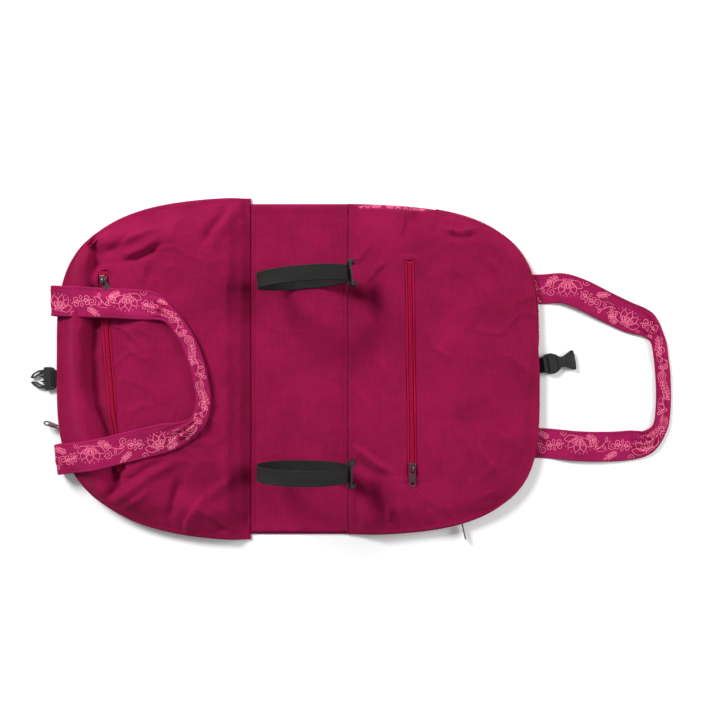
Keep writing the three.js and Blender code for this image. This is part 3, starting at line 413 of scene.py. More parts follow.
class Workshop:
    """Makes pieces from points and faces, dresses them and fits them to the frame."""

    def __init__(self) -> None:
        """Start with no piece made."""
        self.finishes = Finishes()
        self.count = 0

    def piece(
        self,
        name: str,
        points: Array,
        faces: Sequence[Sequence[int]],
        finish: Any,
        strip: Array | None = None,
        flat: bool = False,
    ) -> bpy.types.Object:
        """Make a piece.

        Args:
            name: the piece's name.
            points: its points in millimetres, one row each.
            faces: its faces.
            finish: what it is made of.
            strip: the place of each point along and across a strip, in millimetres.
            flat: whether its faces keep their edges.

        Returns:
            The new object.
        """
        mesh = bpy.data.meshes.new(name)
        mesh.from_pydata((np.asarray(points) * MM).tolist(), [], [list(f) for f in faces])
        mesh.validate()
        if strip is not None:
            layer = mesh.uv_layers.new(name="strip")
            index = np.empty(len(mesh.loops), dtype=np.int32)
            mesh.loops.foreach_get("vertex_index", index)
            layer.data.foreach_set("uv", (strip[index] * MM).astype(np.float32).ravel())
        tool = bmesh.new()
        tool.from_mesh(mesh)
        bmesh.ops.recalc_face_normals(tool, faces=tool.faces)
        tool.to_mesh(mesh)
        tool.free()
        mesh.polygons.foreach_set("use_smooth", [not flat] * len(mesh.polygons))
        if isinstance(finish, (WornMetal, MouldedPlastic)):
            mesh.set_sharp_from_angle(angle=math.radians(30))
        mesh.materials.append(self.finishes.of(finish))
        made = bpy.data.objects.new(name, mesh)
        bpy.context.scene.collection.objects.link(made)
        return made

    def fit(self, piece: bpy.types.Object, slot: Slot, *nodes: str, body: str = BODY) -> bpy.types.Object:
        """Fit a piece to the frame.

        Args:
            piece: the piece.
            slot: the record's material slot; not used.
            nodes: the frame's nodes that it stands for.
            body: the body that it rides on.

        Returns:
            The same piece.
        """
        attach(piece, body)
        if nodes:
            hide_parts(*nodes)
        self.count += 1
        return piece


def grid_faces(rows: int, columns: int, start: int = 0, turned: bool = False) -> list[list[int]]:
    """Return the quads of a grid of points.

    Args:
        rows: how many rows of points.
        columns: how many points in a row.
        start: the number of the first point.
        turned: whether the quads face the other way.

    Returns:
        The faces.
    """
    faces = []
    for i in range(rows - 1):
        for j in range(columns - 1):
            a = start + i * columns + j
            face = [a, a + columns, a + columns + 1, a + 1]
            faces.append(face[::-1] if turned else face)
    return faces


def slab(top: Array, bottom: Array) -> Mesh:
    """Close two grids of points into one solid.

    Args:
        top: the upper grid, rows by columns by 3.
        bottom: the lower grid of the same shape.

    Returns:
        The points and the faces.
    """
    rows, columns = top.shape[:2]
    size = rows * columns
    points = np.concatenate([top.reshape(-1, 3), bottom.reshape(-1, 3)])
    faces = grid_faces(rows, columns) + grid_faces(rows, columns, size, True)
    rim = list(range(columns))
    rim += [i * columns + columns - 1 for i in range(1, rows)]
    rim += [(rows - 1) * columns + j for j in range(columns - 2, -1, -1)]
    rim += [i * columns for i in range(rows - 2, 0, -1)]
    for a, b in zip(rim, rim[1:] + rim[:1]):
        faces.append([a, b, b + size, a + size])
    return points, faces


def tube(rings: Array) -> Mesh:
    """Close a row of rings into one solid, with a cap at each end.

    Args:
        rings: stations by ring points by 3.

    Returns:
        The points and the faces.
    """
    rows, columns = rings.shape[:2]
    faces = []
    for i in range(rows - 1):
        for j in range(columns):
            a, b = i * columns + j, i * columns + (j + 1) % columns
            faces.append([a, b, b + columns, a + columns])
    faces.append(list(range(columns))[::-1])
    faces.append(list(range((rows - 1) * columns, rows * columns)))
    return rings.reshape(-1, 3), faces


def ring(rings: Array) -> Mesh:
    """Close a row of rings end to end, with no caps."""
    rows, columns = rings.shape[:2]
    faces = []
    for i in range(rows):
        for j in range(columns):
            a, b = i * columns + j, i * columns + (j + 1) % columns
            c, d = (i + 1) % rows * columns + (j + 1) % columns, (i + 1) % rows * columns + j
            faces.append([a, b, c, d])
    return rings.reshape(-1, 3), faces


@dataclass
class Path:
    """A line through space with a direction across it and a direction up from it at each point."""

    points: Array
    across: Array
    up: Array

    @property
    def walked(self) -> Array:
        """How far each point is along the line."""
        steps = np.linalg.norm(np.diff(self.points, axis=0), axis=1)
        return np.concatenate([[0.0], np.cumsum(steps)])

    @classmethod
    def of(cls, points: Array, up: Array) -> Path:
        """Frame a line.

        Args:
            points: the line's points.
            up: the rough way up, one for all points or one each.

        Returns:
            The framed line.
        """
        along = unit(np.gradient(points, axis=0))
        up = np.broadcast_to(up, points.shape)
        across = unit(np.cross(along, up))
        return cls(points, across, unit(np.cross(across, along)))

    def at(self, distances: Array) -> Path:
        """Read the line again at some distances along it."""
        walked = self.walked

        def read(values: Array) -> Array:
            """Interpolate three columns of values at the distances."""
            return np.stack([np.interp(distances, walked, values[:, k]) for k in range(3)], axis=1)

        return Path(read(self.points), unit(read(self.across)), unit(read(self.up)))

    def every(self, pitch: float, margin: float = 0.0) -> Path:
        """Read the line again at an even pitch, clear of its ends by a margin."""
        length = self.walked[-1]
        count = max(2, round((length - 2 * margin) / pitch) + 1)
        return self.at(np.linspace(margin, length - margin, count))

    def moved(self, across: float, up: float) -> Path:
        """Return the line shifted across and up."""
        return Path(self.points + across * self.across + up * self.up, self.across, self.up)

    def swept(self, section: Array) -> Array:
        """Carry a section along the line.

        Args:
            section: ring points by 2, or stations by ring points by 2: across and up.

        Returns:
            Stations by ring points by 3.
        """
        section = np.broadcast_to(section, (len(self.points), *section.shape[-2:]))
        side = self.across[:, None, :] * section[..., 0:1]
        return self.points[:, None, :] + side + self.up[:, None, :] * section[..., 1:2]


def strip_places(path: Path, section: Array) -> Array:
    """Return each swept point's place along and across a strip."""
    section = np.broadcast_to(section, (len(path.points), *section.shape[-2:]))
    along = np.repeat(path.walked[:, None], section.shape[1], axis=1)
    return np.stack([along, section[..., 0]], axis=-1).reshape(-1, 2)


@dataclass(frozen=True)
class Stitching:
    """A row of stitches: each thread loop rises out of the cloth and dives back in."""

    length: float = 2.4
    space: float = 0.9
    width: float = 0.62
    height: float = 0.34
    sunk: float = 0.1

    def along(self, path: Path, margin: float = 1.5) -> Mesh:
        """Lay stitches along a line.

        Args:
            path: the line, on the cloth's surface.
            margin: the bare stretch at both ends.

        Returns:
            The points and the faces.
        """
        places = path.every(self.length + self.space, margin)
        forward = unit(np.gradient(places.points, axis=0))
        w, h = self.width / 2, self.height
        foot = (0, -self.sunk)
        hoop = [(-w, 0), (0, h), (w, 0), foot]
        loops = [(-0.5, [foot]), (-0.3, hoop), (0.3, hoop), (0.5, [foot])]
        offsets = [(a * self.length, x, z) for a, ring_points in loops for x, z in ring_points]
        shape = np.array(offsets)
        points = (
            places.points[:, None, :]
            + forward[:, None, :] * shape[None, :, 0:1]
            + places.across[:, None, :] * shape[None, :, 1:2]
            + places.up[:, None, :] * shape[None, :, 2:3]
        )
        faces = [[0, 2, 1], [0, 3, 2], [0, 4, 3], [0, 1, 4]]
        faces += [[1 + j, 1 + (j + 1) % 4, 5 + (j + 1) % 4, 5 + j] for j in range(4)]
        faces += [[9, 5, 6], [9, 6, 7], [9, 7, 8], [9, 8, 5]]
        count = len(shape)
        every = [[k * count + i for i in face] for k in range(len(places.points)) for face in faces]
        return points.reshape(-1, 3), every


def gathered(parts: Iterable[Mesh]) -> Mesh:
    """Put several meshes into one."""
    points, faces, start = [], [], 0
    for part_points, part_faces in parts:
        points.append(part_points)
        faces.extend([[start + i for i in face] for face in part_faces])
        start += len(part_points)
    return np.concatenate(points), faces


@dataclass(frozen=True)
class Plate:
    """A plate with rounded edges, cut to an outline with holes."""

    outline: Sequence[Point]
    low: float
    high: float
    edge: float = 0.4
    holes: Sequence[Sequence[Point]] = ()
    rounds: int = 1

    def mesh(self) -> Mesh:
        """Return the plate's points and faces, in millimetres."""
        curve = bpy.data.curves.new("plate", "CURVE")
        curve.dimensions = "2D"
        curve.fill_mode = "BOTH"
        curve.extrude = (self.high - self.low) / 2 - self.edge
        curve.bevel_depth = self.edge
        curve.bevel_resolution = self.rounds
        curve.offset = -self.edge
        for line in (self.outline, *self.holes):
            spline = curve.splines.new("POLY")
            spline.points.add(len(line) - 1)
            for point, (x, y) in zip(spline.points, line):
                point.co = (x, y, 0.0, 1.0)
            spline.use_cyclic_u = True
        holder = bpy.data.objects.new("plate", curve)
        mesh = holder.to_mesh()
        tool = bmesh.new()
        tool.from_mesh(mesh)
        bmesh.ops.remove_doubles(tool, verts=tool.verts, dist=0.01)
        points = np.array([v.co[:] for v in tool.verts])
        points[:, 2] += (self.low + self.high) / 2
        tool.verts.index_update()
        faces = [[v.index for v in f.verts] for f in tool.faces]
        tool.free()
        holder.to_mesh_clear()
        bpy.data.objects.remove(holder)
        bpy.data.curves.remove(curve)
        return points, faces


def rounded(corners: Sequence[Point], radius: float, steps: int = 4) -> list[Point]:
    """Round a polygon's corners.

    Args:
        corners: the polygon.
        radius: how far from each corner the rounding starts.
        steps: how many pieces each rounding has.

    Returns:
        The rounded outline.
    """
    line: list[Point] = []
    count = len(corners)
    for i in range(count):
        before, here, after = (np.array(corners[(i + k) % count], float) for k in (-1, 0, 1))
        back, forth = before - here, after - here
        reach = min(radius, np.linalg.norm(back) / 2.01, np.linalg.norm(forth) / 2.01)
        start, end = here + reach * unit(back), here + reach * unit(forth)
        for t in np.linspace(0, 1, steps + 1):
            point = (1 - t) ** 2 * start + 2 * t * (1 - t) * here + t**2 * end
            line.append((float(point[0]), float(point[1])))
    return line


def bar(start: Sequence[float], end: Sequence[float], radius: float, sides: int = 14) -> Mesh:
    """Make a round bar with eased ends between two points."""
    a, b = np.array(start, float), np.array(end, float)
    along = unit(b - a)
    side = unit(np.cross(along, [0.3, 0.5, 0.8]))
    over = np.cross(along, side)
    length = float(np.linalg.norm(b - a))
    ease = min(0.3 * radius, length / 4)
    profile = [(0.0, radius - ease), (ease, radius), (length - ease, radius), (length, radius - ease)]
    turn = np.linspace(0, 2 * math.pi, sides, endpoint=False)
    circle = np.cos(turn)[:, None] * side + np.sin(turn)[:, None] * over
    return tube(np.array([a + along * d + r * circle for d, r in profile]))


def placed(part: Mesh, matrix: Matrix) -> Mesh:
    """Move a mesh by a matrix in millimetres."""
    turn = np.array(matrix.to_3x3())
    return part[0] @ turn.T + np.array(matrix.translation), part[1]


@dataclass(frozen=True)
class HalfPlan:
    """The plan of one half: a rounded outline, from the fold beside the base strip to the far edge."""

    sign: int
    reach: float
    half_length: float
    fold: float
    upper_corner: float
    lower_corner: float
    puff: float
    fold_rise: float
    taper: float = 0.05

    @property
    def fold_share(self) -> float:
        """The fold's share of the reach."""
        return self.fold / self.reach

    def point(self, u: Array, v: Array) -> tuple[Array, Array]:
        """Map shares of the reach and the half length to a place."""
        corner = np.where(v >= 0, self.upper_corner, self.lower_corner)
        far = np.maximum(np.abs(u), np.abs(v))
        norm = (np.abs(u) ** corner + np.abs(v) ** corner) ** (1 / corner)
        pull = 1 + (far / np.maximum(norm, 1e-9) - 1) * far**4
        x = self.sign * self.reach * u * pull
        return x, self.half_length * (1 - self.taper * u * u) * v * pull

    def shares(self, x: Array, y: Array) -> tuple[Array, Array]:
        """Find the shares of a place by stepping towards it."""
        u, v = self.sign * x / self.reach, y / self.half_length
        for _ in range(12):
            px, py = self.point(u, v)
            u = u + self.sign * (x - px) / self.reach
            v = v + (y - py) / self.half_length
        return u, v

    def outline(self, count: int) -> tuple[Array, Array, Array]:
        """Walk round the edge from the upper fold corner to the lower one.

        Args:
            count: how many points to give.

        Returns:
            The points on the floor, the ways out of the half, and their shares of the reach.
        """
        out = np.linspace(self.fold_share, 1, 400)
        side = np.linspace(1, -1, 700)
        u = np.concatenate([out, np.ones(698), out[::-1]])
        v = np.concatenate([np.ones(400), side[1:-1], -np.ones(400)])
        x, y = self.point(u, v)
        line = np.stack([x, y, np.zeros_like(x)], axis=1)
        walked = np.concatenate([[0], np.cumsum(np.linalg.norm(np.diff(line, axis=0), axis=1))])
        marks = np.linspace(0, walked[-1], count)
        points = np.stack([np.interp(marks, walked, line[:, k]) for k in range(3)], axis=1)
        along = unit(np.gradient(points, axis=0))
        outward = self.sign * np.stack([-along[:, 1], along[:, 0], np.zeros(count)], axis=1)
        return points, outward, np.interp(marks, walked, u)


@dataclass(frozen=True)
class Stroke:
    """A fold of the cloth along a line. It can fall off more steeply on the left of its way."""

    points: tuple[Point, ...]
    height: float
    width: float
    steep: float = 0.0

    def at(self, x: Array, y: Array) -> Array:
        """Return how far the fold lifts the cloth at some places."""
        best, walk = np.full(x.shape, np.inf), np.zeros(x.shape)
        left = np.zeros(x.shape, bool)
        walked = 0.0
        for (x0, y0), (x1, y1) in zip(self.points, self.points[1:]):
            dx, dy = x1 - x0, y1 - y0
            length = math.hypot(dx, dy)
            t = np.clip(((x - x0) * dx + (y - y0) * dy) / length**2, 0, 1)
            px, py = x - x0 - t * dx, y - y0 - t * dy
            away = np.hypot(px, py)
            near = away < best
            best = np.where(near, away, best)
            left = np.where(near, dx * py - dy * px > 0, left)
            walk = np.where(near, walked + t * length, walk)
            walked += length
        width = np.where(left, self.width * (1 - self.steep), self.width)
        fade = smooth(np.minimum(walk, walked - walk) / min(0.3 * walked, 26.0))
        return self.height * np.exp(-((best / width) ** 2)) * mix(0.1, 1.0, fade)


@dataclass(frozen=True)
class Crumple:
    """The soft swells and fine creases of cloth that has been packed and laid out."""

    seed: float
    swell: float
    swell_size: float
    crease: float
    crease_size: float

    def at(self, x: Array, y: Array) -> Array:
        """Return how far the crumple lifts the cloth at some places."""
        values = [self.one(a, b) for a, b in zip(x.ravel().tolist(), y.ravel().tolist())]
        return np.array(values).reshape(x.shape)

    def one(self, x: float, y: float) -> float:
        """Return the crumple at one place."""
        s, c = self.swell_size, self.crease_size
        swell = noise.noise(Vector((x / s, y / s, self.seed)))
        bend = 1.4 * noise.noise(Vector((x / (2.5 * c), y / (2.5 * c), self.seed + 3)))
        line = 1 - abs(noise.noise(Vector((x / c + bend, y / c - bend, self.seed + 7))))
        strength = max(0.0, noise.noise(Vector((x / 90, y / 90, self.seed + 11))) + 0.25)
        return self.swell * swell + self.crease * strength * line**9


@dataclass(frozen=True)
class Strip:
    """A strip sewn under a half, which lifts the outer cloth over it."""

    place: float
    width: float
    thickness: float
    length: float


@dataclass(frozen=True)
class PocketZip:
    """A straight zip set into an inner face."""

    out: float
    side: float
    lean: float
    bend: float
    length: float
    tape_width: float = 12.4
    tape_thickness: float = 1.1
    edge_space: float = 0.4

    def centre(self, plan: HalfPlan, at: Array) -> tuple[Array, Array]:
        """Return the middle of the tape, from its lower end at -1 to its upper end at 1."""
        s, c = math.sin(self.lean), math.cos(self.lean)
        bend = self.bend * (1 - np.clip(at, -1, 1) ** 2)
        x = plan.sign * plan.reach * self.out - s * at * self.length / 2 - c * bend
        return x, plan.half_length * self.side + c * at * self.length / 2 - s * bend

    def local(self, plan: HalfPlan, x: Array, y: Array) -> tuple[Array, Array]:
        """Return how far places are across the zip and along it from its middle."""
        s, c = math.sin(self.lean), math.cos(self.lean)
        dx, dy = x - plan.sign * plan.reach * self.out, y - plan.half_length * self.side
        along = -s * dx + c * dy
        bend = self.bend * (1 - np.clip(2 * along / self.length, -1, 1) ** 2)
        return c * dx + s * dy + bend, along


class Peek(Enum):
    """How a pouch's inner face sits on its edge."""

    FULL = "full"
    SHY = "shy of the upper edge"


@dataclass
class Pouch:
    """One zipped pouch: a printed outer face, a plain inner face and the zipped wall between them."""

    label: str
    plan: HalfPlan
    pocket: PocketZip
    zip_from: float
    zip_to: float
    peek: Peek
    strips: tuple[Strip, ...]
    basins: tuple[Stroke, ...]
    strokes: tuple[Stroke, ...]
    crumple: Crumple
    calm: tuple[tuple[float, float, float], ...]
    cloth: float = 1.5
    gap: float = 0.3
    wall_height: float = 12.0
    wall_thickness: float = 1.1
    wall_inset: float = 9.0
    roll: float = 4.2
    roll_turn: float = 1.75
    step: float = 2.4
    lift_margin: float = 0.05
    lift_ramp: float = 0.06

    def edge_share(self, u: Array) -> Array:
        """Return how fully the pouch stands open: 0 at the fold, 1 from a little way out."""
        return smooth((u - self.plan.fold_share) * self.plan.reach / self.plan.fold_rise)

    def lift(self, u: Array, v: Array) -> Array:
        """Return how far the strips underneath lift the outer cloth."""
        lifts = []
        for strip in self.strips:
            beside = strip.width / 2 / self.plan.half_length + self.lift_margin
            inward = strip.length / self.plan.reach + self.lift_margin
            side = 1 - (np.abs(v - strip.place) - beside) / self.lift_ramp
            out = 1 - (1 - inward - u) / self.lift_ramp
            lifts.append(np.clip(np.minimum(side, out), 0, 1) * (strip.thickness + self.gap))
        return np.max(lifts, axis=0)

    def under(self, u: Array, v: Array) -> Array:
        """Return the height of the inner face's lower side, before its folds."""
        edge = self.edge_share(u)
        inside = smooth((1 - np.abs(v)) / 0.2) * smooth((1 - u) / 0.14)
        return self.cloth + self.gap + self.wall_height * edge + self.plan.puff * inside * edge

    def rim_space(self, u: Array, v: Array) -> Array:
        """Return how far places are from the edge, in millimetres."""
        return np.minimum((1 - u) * self.plan.reach, (1 - np.abs(v)) * self.plan.half_length)

    def top(self, u: Array, v: Array, x: Array, y: Array) -> Array:
        """Return the height of the inner face's upper side, with its folds."""
        folds = sum(stroke.at(x, y) for stroke in self.strokes) + self.crumple.at(x, y)
        for cx, cy, size in self.calm:
            folds = folds * (1 - np.exp(-(((x - cx) ** 2 + (y - cy) ** 2) / size**2) ** 2))
        folds = folds + sum(basin.at(x, y) for basin in self.basins)
        from_fold = (u - self.plan.fold_share) * self.plan.reach
        rim = self.rim_space(u, v)
        folds = folds - 1.1 * bump(rim, 7.5, 1.7)
        free = mix(0.35, 1.0, smooth(rim / 12)) * smooth(from_fold / 7)
        deepest = -mix(0.3, 30.0, smooth((rim - 10) / 10))
        height = self.under(u, v) + self.cloth + np.maximum(folds * free, deepest)
        return np.maximum(height, 2 * self.cloth + self.gap + 0.2 * smooth(from_fold / 3))

    def top_at(self, x: Array, y: Array) -> Array:
        """Return the height of the inner face's upper side at some places."""
        u, v = self.plan.shares(x, y)
        return self.top(np.minimum(u, 1), np.clip(v, -1, 1), x, y)

    def slot(self, x: Array, y: Array) -> Array:
        """Return how far the canvas rises or sinks for the pocket zip."""
        across, along = self.pocket.local(self.plan, x, y)
        room = self.pocket.tape_width / 2 + 0.3
        away = np.maximum(np.abs(across) - room, np.abs(along) - self.pocket.length / 2 - 0.3)
        sink = -1.9 * smooth(0.5 - away / 0.5)
        lip = 0.75 * smooth((away + 0.3) / 0.6) * smooth((6.5 - away) / 2.0)
        seam = -0.45 * bump(away, 2.6, 0.7)
        pull_in = -0.9 * bump(away, 9.5, 3.2)
        return sink + lip + seam + pull_in

    def shy(self, u: Array, v: Array) -> tuple[Array, Array]:
        """Return how far the inner face stops short of the edge, out and sideways."""
        if self.peek is Peek.FULL:
            return np.zeros_like(u), np.zeros_like(u)
        beside = np.where(v > 0, mix(6.4, 2.6, smooth((u - 0.50) / 0.08)), 0.0)
        return 2.6 * smooth((v + 0.05) / 0.25), beside * smooth((u - self.plan.fold_share) / 0.06)

    def columns(self) -> tuple[Array, Array]:
        """Return the inner face's grid lines out from the fold, bent along its zip, and its rows."""
        at = np.linspace(-1.2, 1.2, 80)
        zip_u, zip_v = self.plan.shares(*self.pocket.centre(self.plan, at))
        room = self.pocket.tape_width / 2 + 0.3
        marks = [-0.8, -0.2, 0.1, 0.35, 0.9, 1.9, 2.6, 3.3, 5.0]
        middle = float(np.interp(0, zip_v, zip_u))
        breaks = [self.plan.fold_share, 1 - self.roll / self.plan.reach, middle]
        breaks += [middle + s * (room + m) / self.plan.reach for m in marks for s in (-1, 1)]
        lines = lines_through(breaks, self.step / self.plan.reach)
        near = 16 / self.plan.reach
        before = (lines - lines[0]) / (middle - near - lines[0])
        after = (lines[-1] - lines) / (lines[-1] - middle - near)
        weight = np.clip(np.minimum(before, after), 0, 1)
        rows = self.rows(zip_v)
        shift = np.interp(rows, zip_v, zip_u) - middle
        return lines[:, None] + weight[:, None] * shift[None, :], rows

    def rows(self, zip_v: Array) -> Array:
        """Return the inner face's grid lines from its lower end to its upper end."""
        share = (len(zip_v) - 1) / 2.4
        ends = [float(np.interp(share * (1.2 + s), np.arange(len(zip_v)), zip_v)) for s in (-1, 1)]
        marks = [-0.5, 0.1, 0.35, 0.9, 2.6, 4.0]
        rim = 1 - self.roll / self.plan.half_length
        breaks = [-rim, rim]
        breaks += [e + math.copysign((0.3 + m) / self.plan.half_length, e) for e in ends for m in marks]
        return lines_through(breaks, self.step / self.plan.half_length)

    def inner_face(self, shop: Workshop) -> bpy.types.Object:
        """Make the plain inner face, rolled over at its edge and sunk at its pocket zip."""
        across, rows = self.columns()
        turns = np.linspace(0, self.roll_turn, 8)[1:]
        n, m, k = across.shape[0], len(rows), len(turns)
        u = np.zeros((n + k, m + 2 * k))
        v = np.zeros_like(u)
        turn_u, turn_v = np.zeros_like(u), np.zeros_like(u)
        u[:n, k:-k] = across
        u[:n, :k], u[:n, -k:] = across[:, :1], across[:, -1:]
        u[n:, :] = u[n - 1, :]
        turn_u[n:, :] = turns[:, None]
        v[:, k:-k] = rows
        v[:, :k], v[:, -k:] = rows[0], rows[-1]
        turn_v[:, :k], turn_v[:, -k:] = turns[::-1], turns
        radius = mix(1.0, self.roll, self.edge_share(u))
        shy_u, shy_v = self.shy(u, v)
        rim_u = 1 - (radius * (1 - np.sin(turn_u)) + shy_u) / self.plan.reach
        rim_v = 1 - (radius * (1 - np.sin(turn_v)) + shy_v) / self.plan.half_length
        u = np.where(turn_u > 0, rim_u, np.minimum(u, 1 - (radius + shy_u) / self.plan.reach))
        side = np.minimum(np.abs(v), 1 - (radius + shy_v) / self.plan.half_length)
        v = np.sign(v) * np.where(turn_v > 0, rim_v, side)
        turn = np.maximum(turn_u, turn_v)
        x, y = self.plan.point(u, v)
        drop = radius * (1 - np.cos(turn))
        base = np.stack([x, y, self.under(u, v) + self.cloth - drop], axis=-1)
        normal = unit(np.cross(np.gradient(base, axis=0), np.gradient(base, axis=1))) * self.plan.sign
        height = self.top(u, v, x, y) - drop
        top = np.stack([x, y, height + np.where(turn > 0, 0, self.slot(x, y))], axis=-1)
        bottom = np.stack([x, y, height + np.where(turn > 0, 0, np.minimum(self.slot(x, y), 0))], axis=-1)
        solid = slab(top, bottom - self.cloth * normal)
        piece = shop.piece(f"inner_face_{self.label}", *solid, Finishes.canvas)
        return shop.fit(piece, Slot.PLAIN_CANVAS, f"inner_panel_{self.label}")

    def outer_face(self, shop: Workshop) -> bpy.types.Object:
        """Make the printed outer face, flat on the floor and curled up at its edge."""
        curl = 3.4
        turns = np.linspace(0, 1.15, 5)[1:]
        lines = lines_through([self.plan.fold_share, 1 - curl / self.plan.reach], 4.2 / self.plan.reach)
        rim = 1 - curl / self.plan.half_length
        rows = lines_through([-rim, rim], 4.2 / self.plan.half_length)
        u_line = np.concatenate([lines, np.full(4, lines[-1])])
        v_line = np.concatenate([np.full(4, rows[0]), rows, np.full(4, rows[-1])])
        turn_u = np.concatenate([np.zeros(len(lines)), turns])[:, None]
        turn_v = np.concatenate([turns[::-1], np.zeros(len(rows)), turns])[None, :]
        u, v = np.meshgrid(u_line, v_line, indexing="ij")
        radius = mix(0.8, curl, self.edge_share(u))
        rim_u = 1 - radius * (1 - np.sin(turn_u)) / self.plan.reach
        rim_v = 1 - radius * (1 - np.sin(turn_v)) / self.plan.half_length
        u = np.where(turn_u > 0, rim_u, u)
        v = np.where(turn_v > 0, np.sign(v) * rim_v, v)
        x, y = self.plan.point(u, v)
        low = self.lift(u, v) + radius * (1 - np.cos(np.maximum(turn_u, turn_v)))
        bottom = np.stack([x, y, low], axis=-1)
        normal = unit(np.cross(np.gradient(bottom, axis=0), np.gradient(bottom, axis=1)))
        normal = np.where(normal[..., 2:3] < 0, -normal, normal)
        solid = slab(bottom + self.cloth * normal, bottom)
        piece = shop.piece(f"outer_face_{self.label}", *solid, Finishes.cotton)
        return shop.fit(piece, Slot.PRINTED_COTTON, f"outer_panel_{self.label}")

    def wall(self, low_share: float, high_share: float) -> tuple[Path, Array]:
        """Shape a stretch of the wall between the two faces.

        Args:
            low_share: where it starts, a share of the way round.
            high_share: where it ends.

        Returns:
            The line on the floor below the edge, and the section of the wall's outer side at each point.
        """
        count = 520
        points, outward, u = self.plan.outline(count)
        share = np.linspace(0, 1, count)
        keep = (share >= low_share) & (share <= high_share)
        points, outward, u, share = points[keep], outward[keep], u[keep], share[keep]
        edge = self.edge_share(u)
        peek = np.zeros_like(u)
        if self.peek is Peek.SHY:
            peek = smooth((0.5 - share) / 0.05) * smooth(share / 0.02)
        inset = mix(self.wall_inset, 2.0, peek)
        foot = points - outward * inset[:, None]
        fu, fv = self.plan.shares(foot[:, 0], foot[:, 1])
        low = self.lift(fu, fv) + self.cloth + 0.5
        head = points - outward * self.wall_inset
        hu, hv = self.plan.shares(head[:, 0], head[:, 1])
        high = self.under(hu, hv) - 0.5
        t = np.linspace(0, 1, 9)
        bulge = mix(1.2, 3.6, peek)[:, None] * edge[:, None] * np.sin(math.pi * t)
        out = bulge - mix(inset[:, None], self.wall_inset, t)
        rise = mix(low[:, None], high[:, None], t)
        up = np.tile([0.0, 0.0, 1.0], (len(points), 1))
        return Path(points, outward, up), np.stack([out, rise], axis=-1)

    def walls(self, shop: Workshop) -> list[bpy.types.Object]:
        """Make the zip tape and the two printed bands that it ends in."""
        made = []
        stretches = [
            (f"edge_zip_tape_{self.label}", self.zip_from, self.zip_to, Finishes.tape, Slot.ZIP_TAPE),
            (f"side_band_{self.label}_upper", 0.012, self.zip_from, Finishes.cotton, Slot.PRINTED_COTTON),
            (f"side_band_{self.label}_lower", self.zip_to, 0.988, Finishes.cotton, Slot.PRINTED_COTTON),
        ]
        for name, start, end, finish, slot in stretches:
            path, face = self.wall(start, end)
            back = face[:, ::-1] - [self.wall_thickness, 0.0]
            section = np.concatenate([face, back], axis=1)
            points, faces = tube(path.swept(section))
            rise = section[..., 1] - section[:, :1, 1] - self.wall_height / 2
            along = np.repeat(path.walked[:, None], section.shape[1], axis=1)
            strip = np.stack([along, rise], axis=-1).reshape(-1, 2)
            if finish is Finishes.cotton:
                outer = path.swept(section)[:, :9]
                facing = unit(np.cross(np.gradient(outer, axis=0), np.gradient(outer, axis=1)))
                facing *= np.sign((facing * path.across[:, None, :]).sum(axis=-1, keepdims=True))
                half = np.full(len(outer), self.wall_height / 2)
                Print(0.7, 0.12).on_band(shop, name, HandleSurface(outer, facing, path.walked, half))
            piece = shop.piece(f"{name}_cloth", points, faces, finish, strip)
            made.append(shop.fit(piece, slot, name))
        return made

    def edge_teeth(self, shop: Workshop) -> bpy.types.Object:
        """Make the coil teeth round the edge."""
        path, face = self.wall(self.zip_from + 0.004, self.zip_to - 0.004)
        middle = face[:, 4]
        points = path.points + path.across * middle[:, :1] + path.up * middle[:, 1:2]
        line = Path(points, path.up, path.across).every(COIL_PITCH)
        coil = teeth(line, 5.0, 1.7, COIL_PITCH)
        piece = shop.piece(f"edge_zip_teeth_{self.label}", *coil, Finishes.coil, flat=True)
        return shop.fit(piece, Slot.ZIP_COIL, f"edge_zip_coil_{self.label}")

    def pocket_line(self, count: int, reach: float = 1.0) -> Path:
        """Return the pocket zip's middle line on the canvas."""
        x, y = self.pocket.centre(self.plan, np.linspace(-reach, reach, count))
        z = blur(self.top_at(x, y) - self.pocket.edge_space, 2)
        points = np.stack([x, y, z], axis=1)
        return Path.of(points, UP)

    def pocket_tape(self, shop: Workshop) -> bpy.types.Object:
        """Make the pocket zip's tape, with a groove on each side of its coil."""
        line = self.pocket_line(150)
        w, t = self.pocket.tape_width / 2, self.pocket.tape_thickness
        upper = [(-w, -0.25), (-w + 0.5, 0.0), (-4.3, 0.1), (-3.5, -0.1), (-3.1, -0.9), (-2.4, -0.9)]
        upper += [(-x, z) for x, z in upper[::-1]]
        section = np.array(upper + [(w, -t), (-w, -t)])
        strip = strip_places(line, section)
        piece = shop.piece(f"pocket_zip_band_{self.label}", *tube(line.swept(section)), Finishes.tape, strip)
        return shop.fit(piece, Slot.ZIP_TAPE, f"pocket_zip_tape_{self.label}")

    def pocket_teeth(self, shop: Workshop) -> bpy.types.Object:
        """Make the pocket zip's coil teeth."""
        line = self.pocket_line(220, 0.97).moved(0.0, -0.3).every(COIL_PITCH)
        coil = teeth(line, 4.6, 1.6, COIL_PITCH)
        piece = shop.piece(f"pocket_zip_teeth_{self.label}", *coil, Finishes.coil, flat=True)
        return shop.fit(piece, Slot.ZIP_COIL, f"pocket_zip_coil_{self.label}")

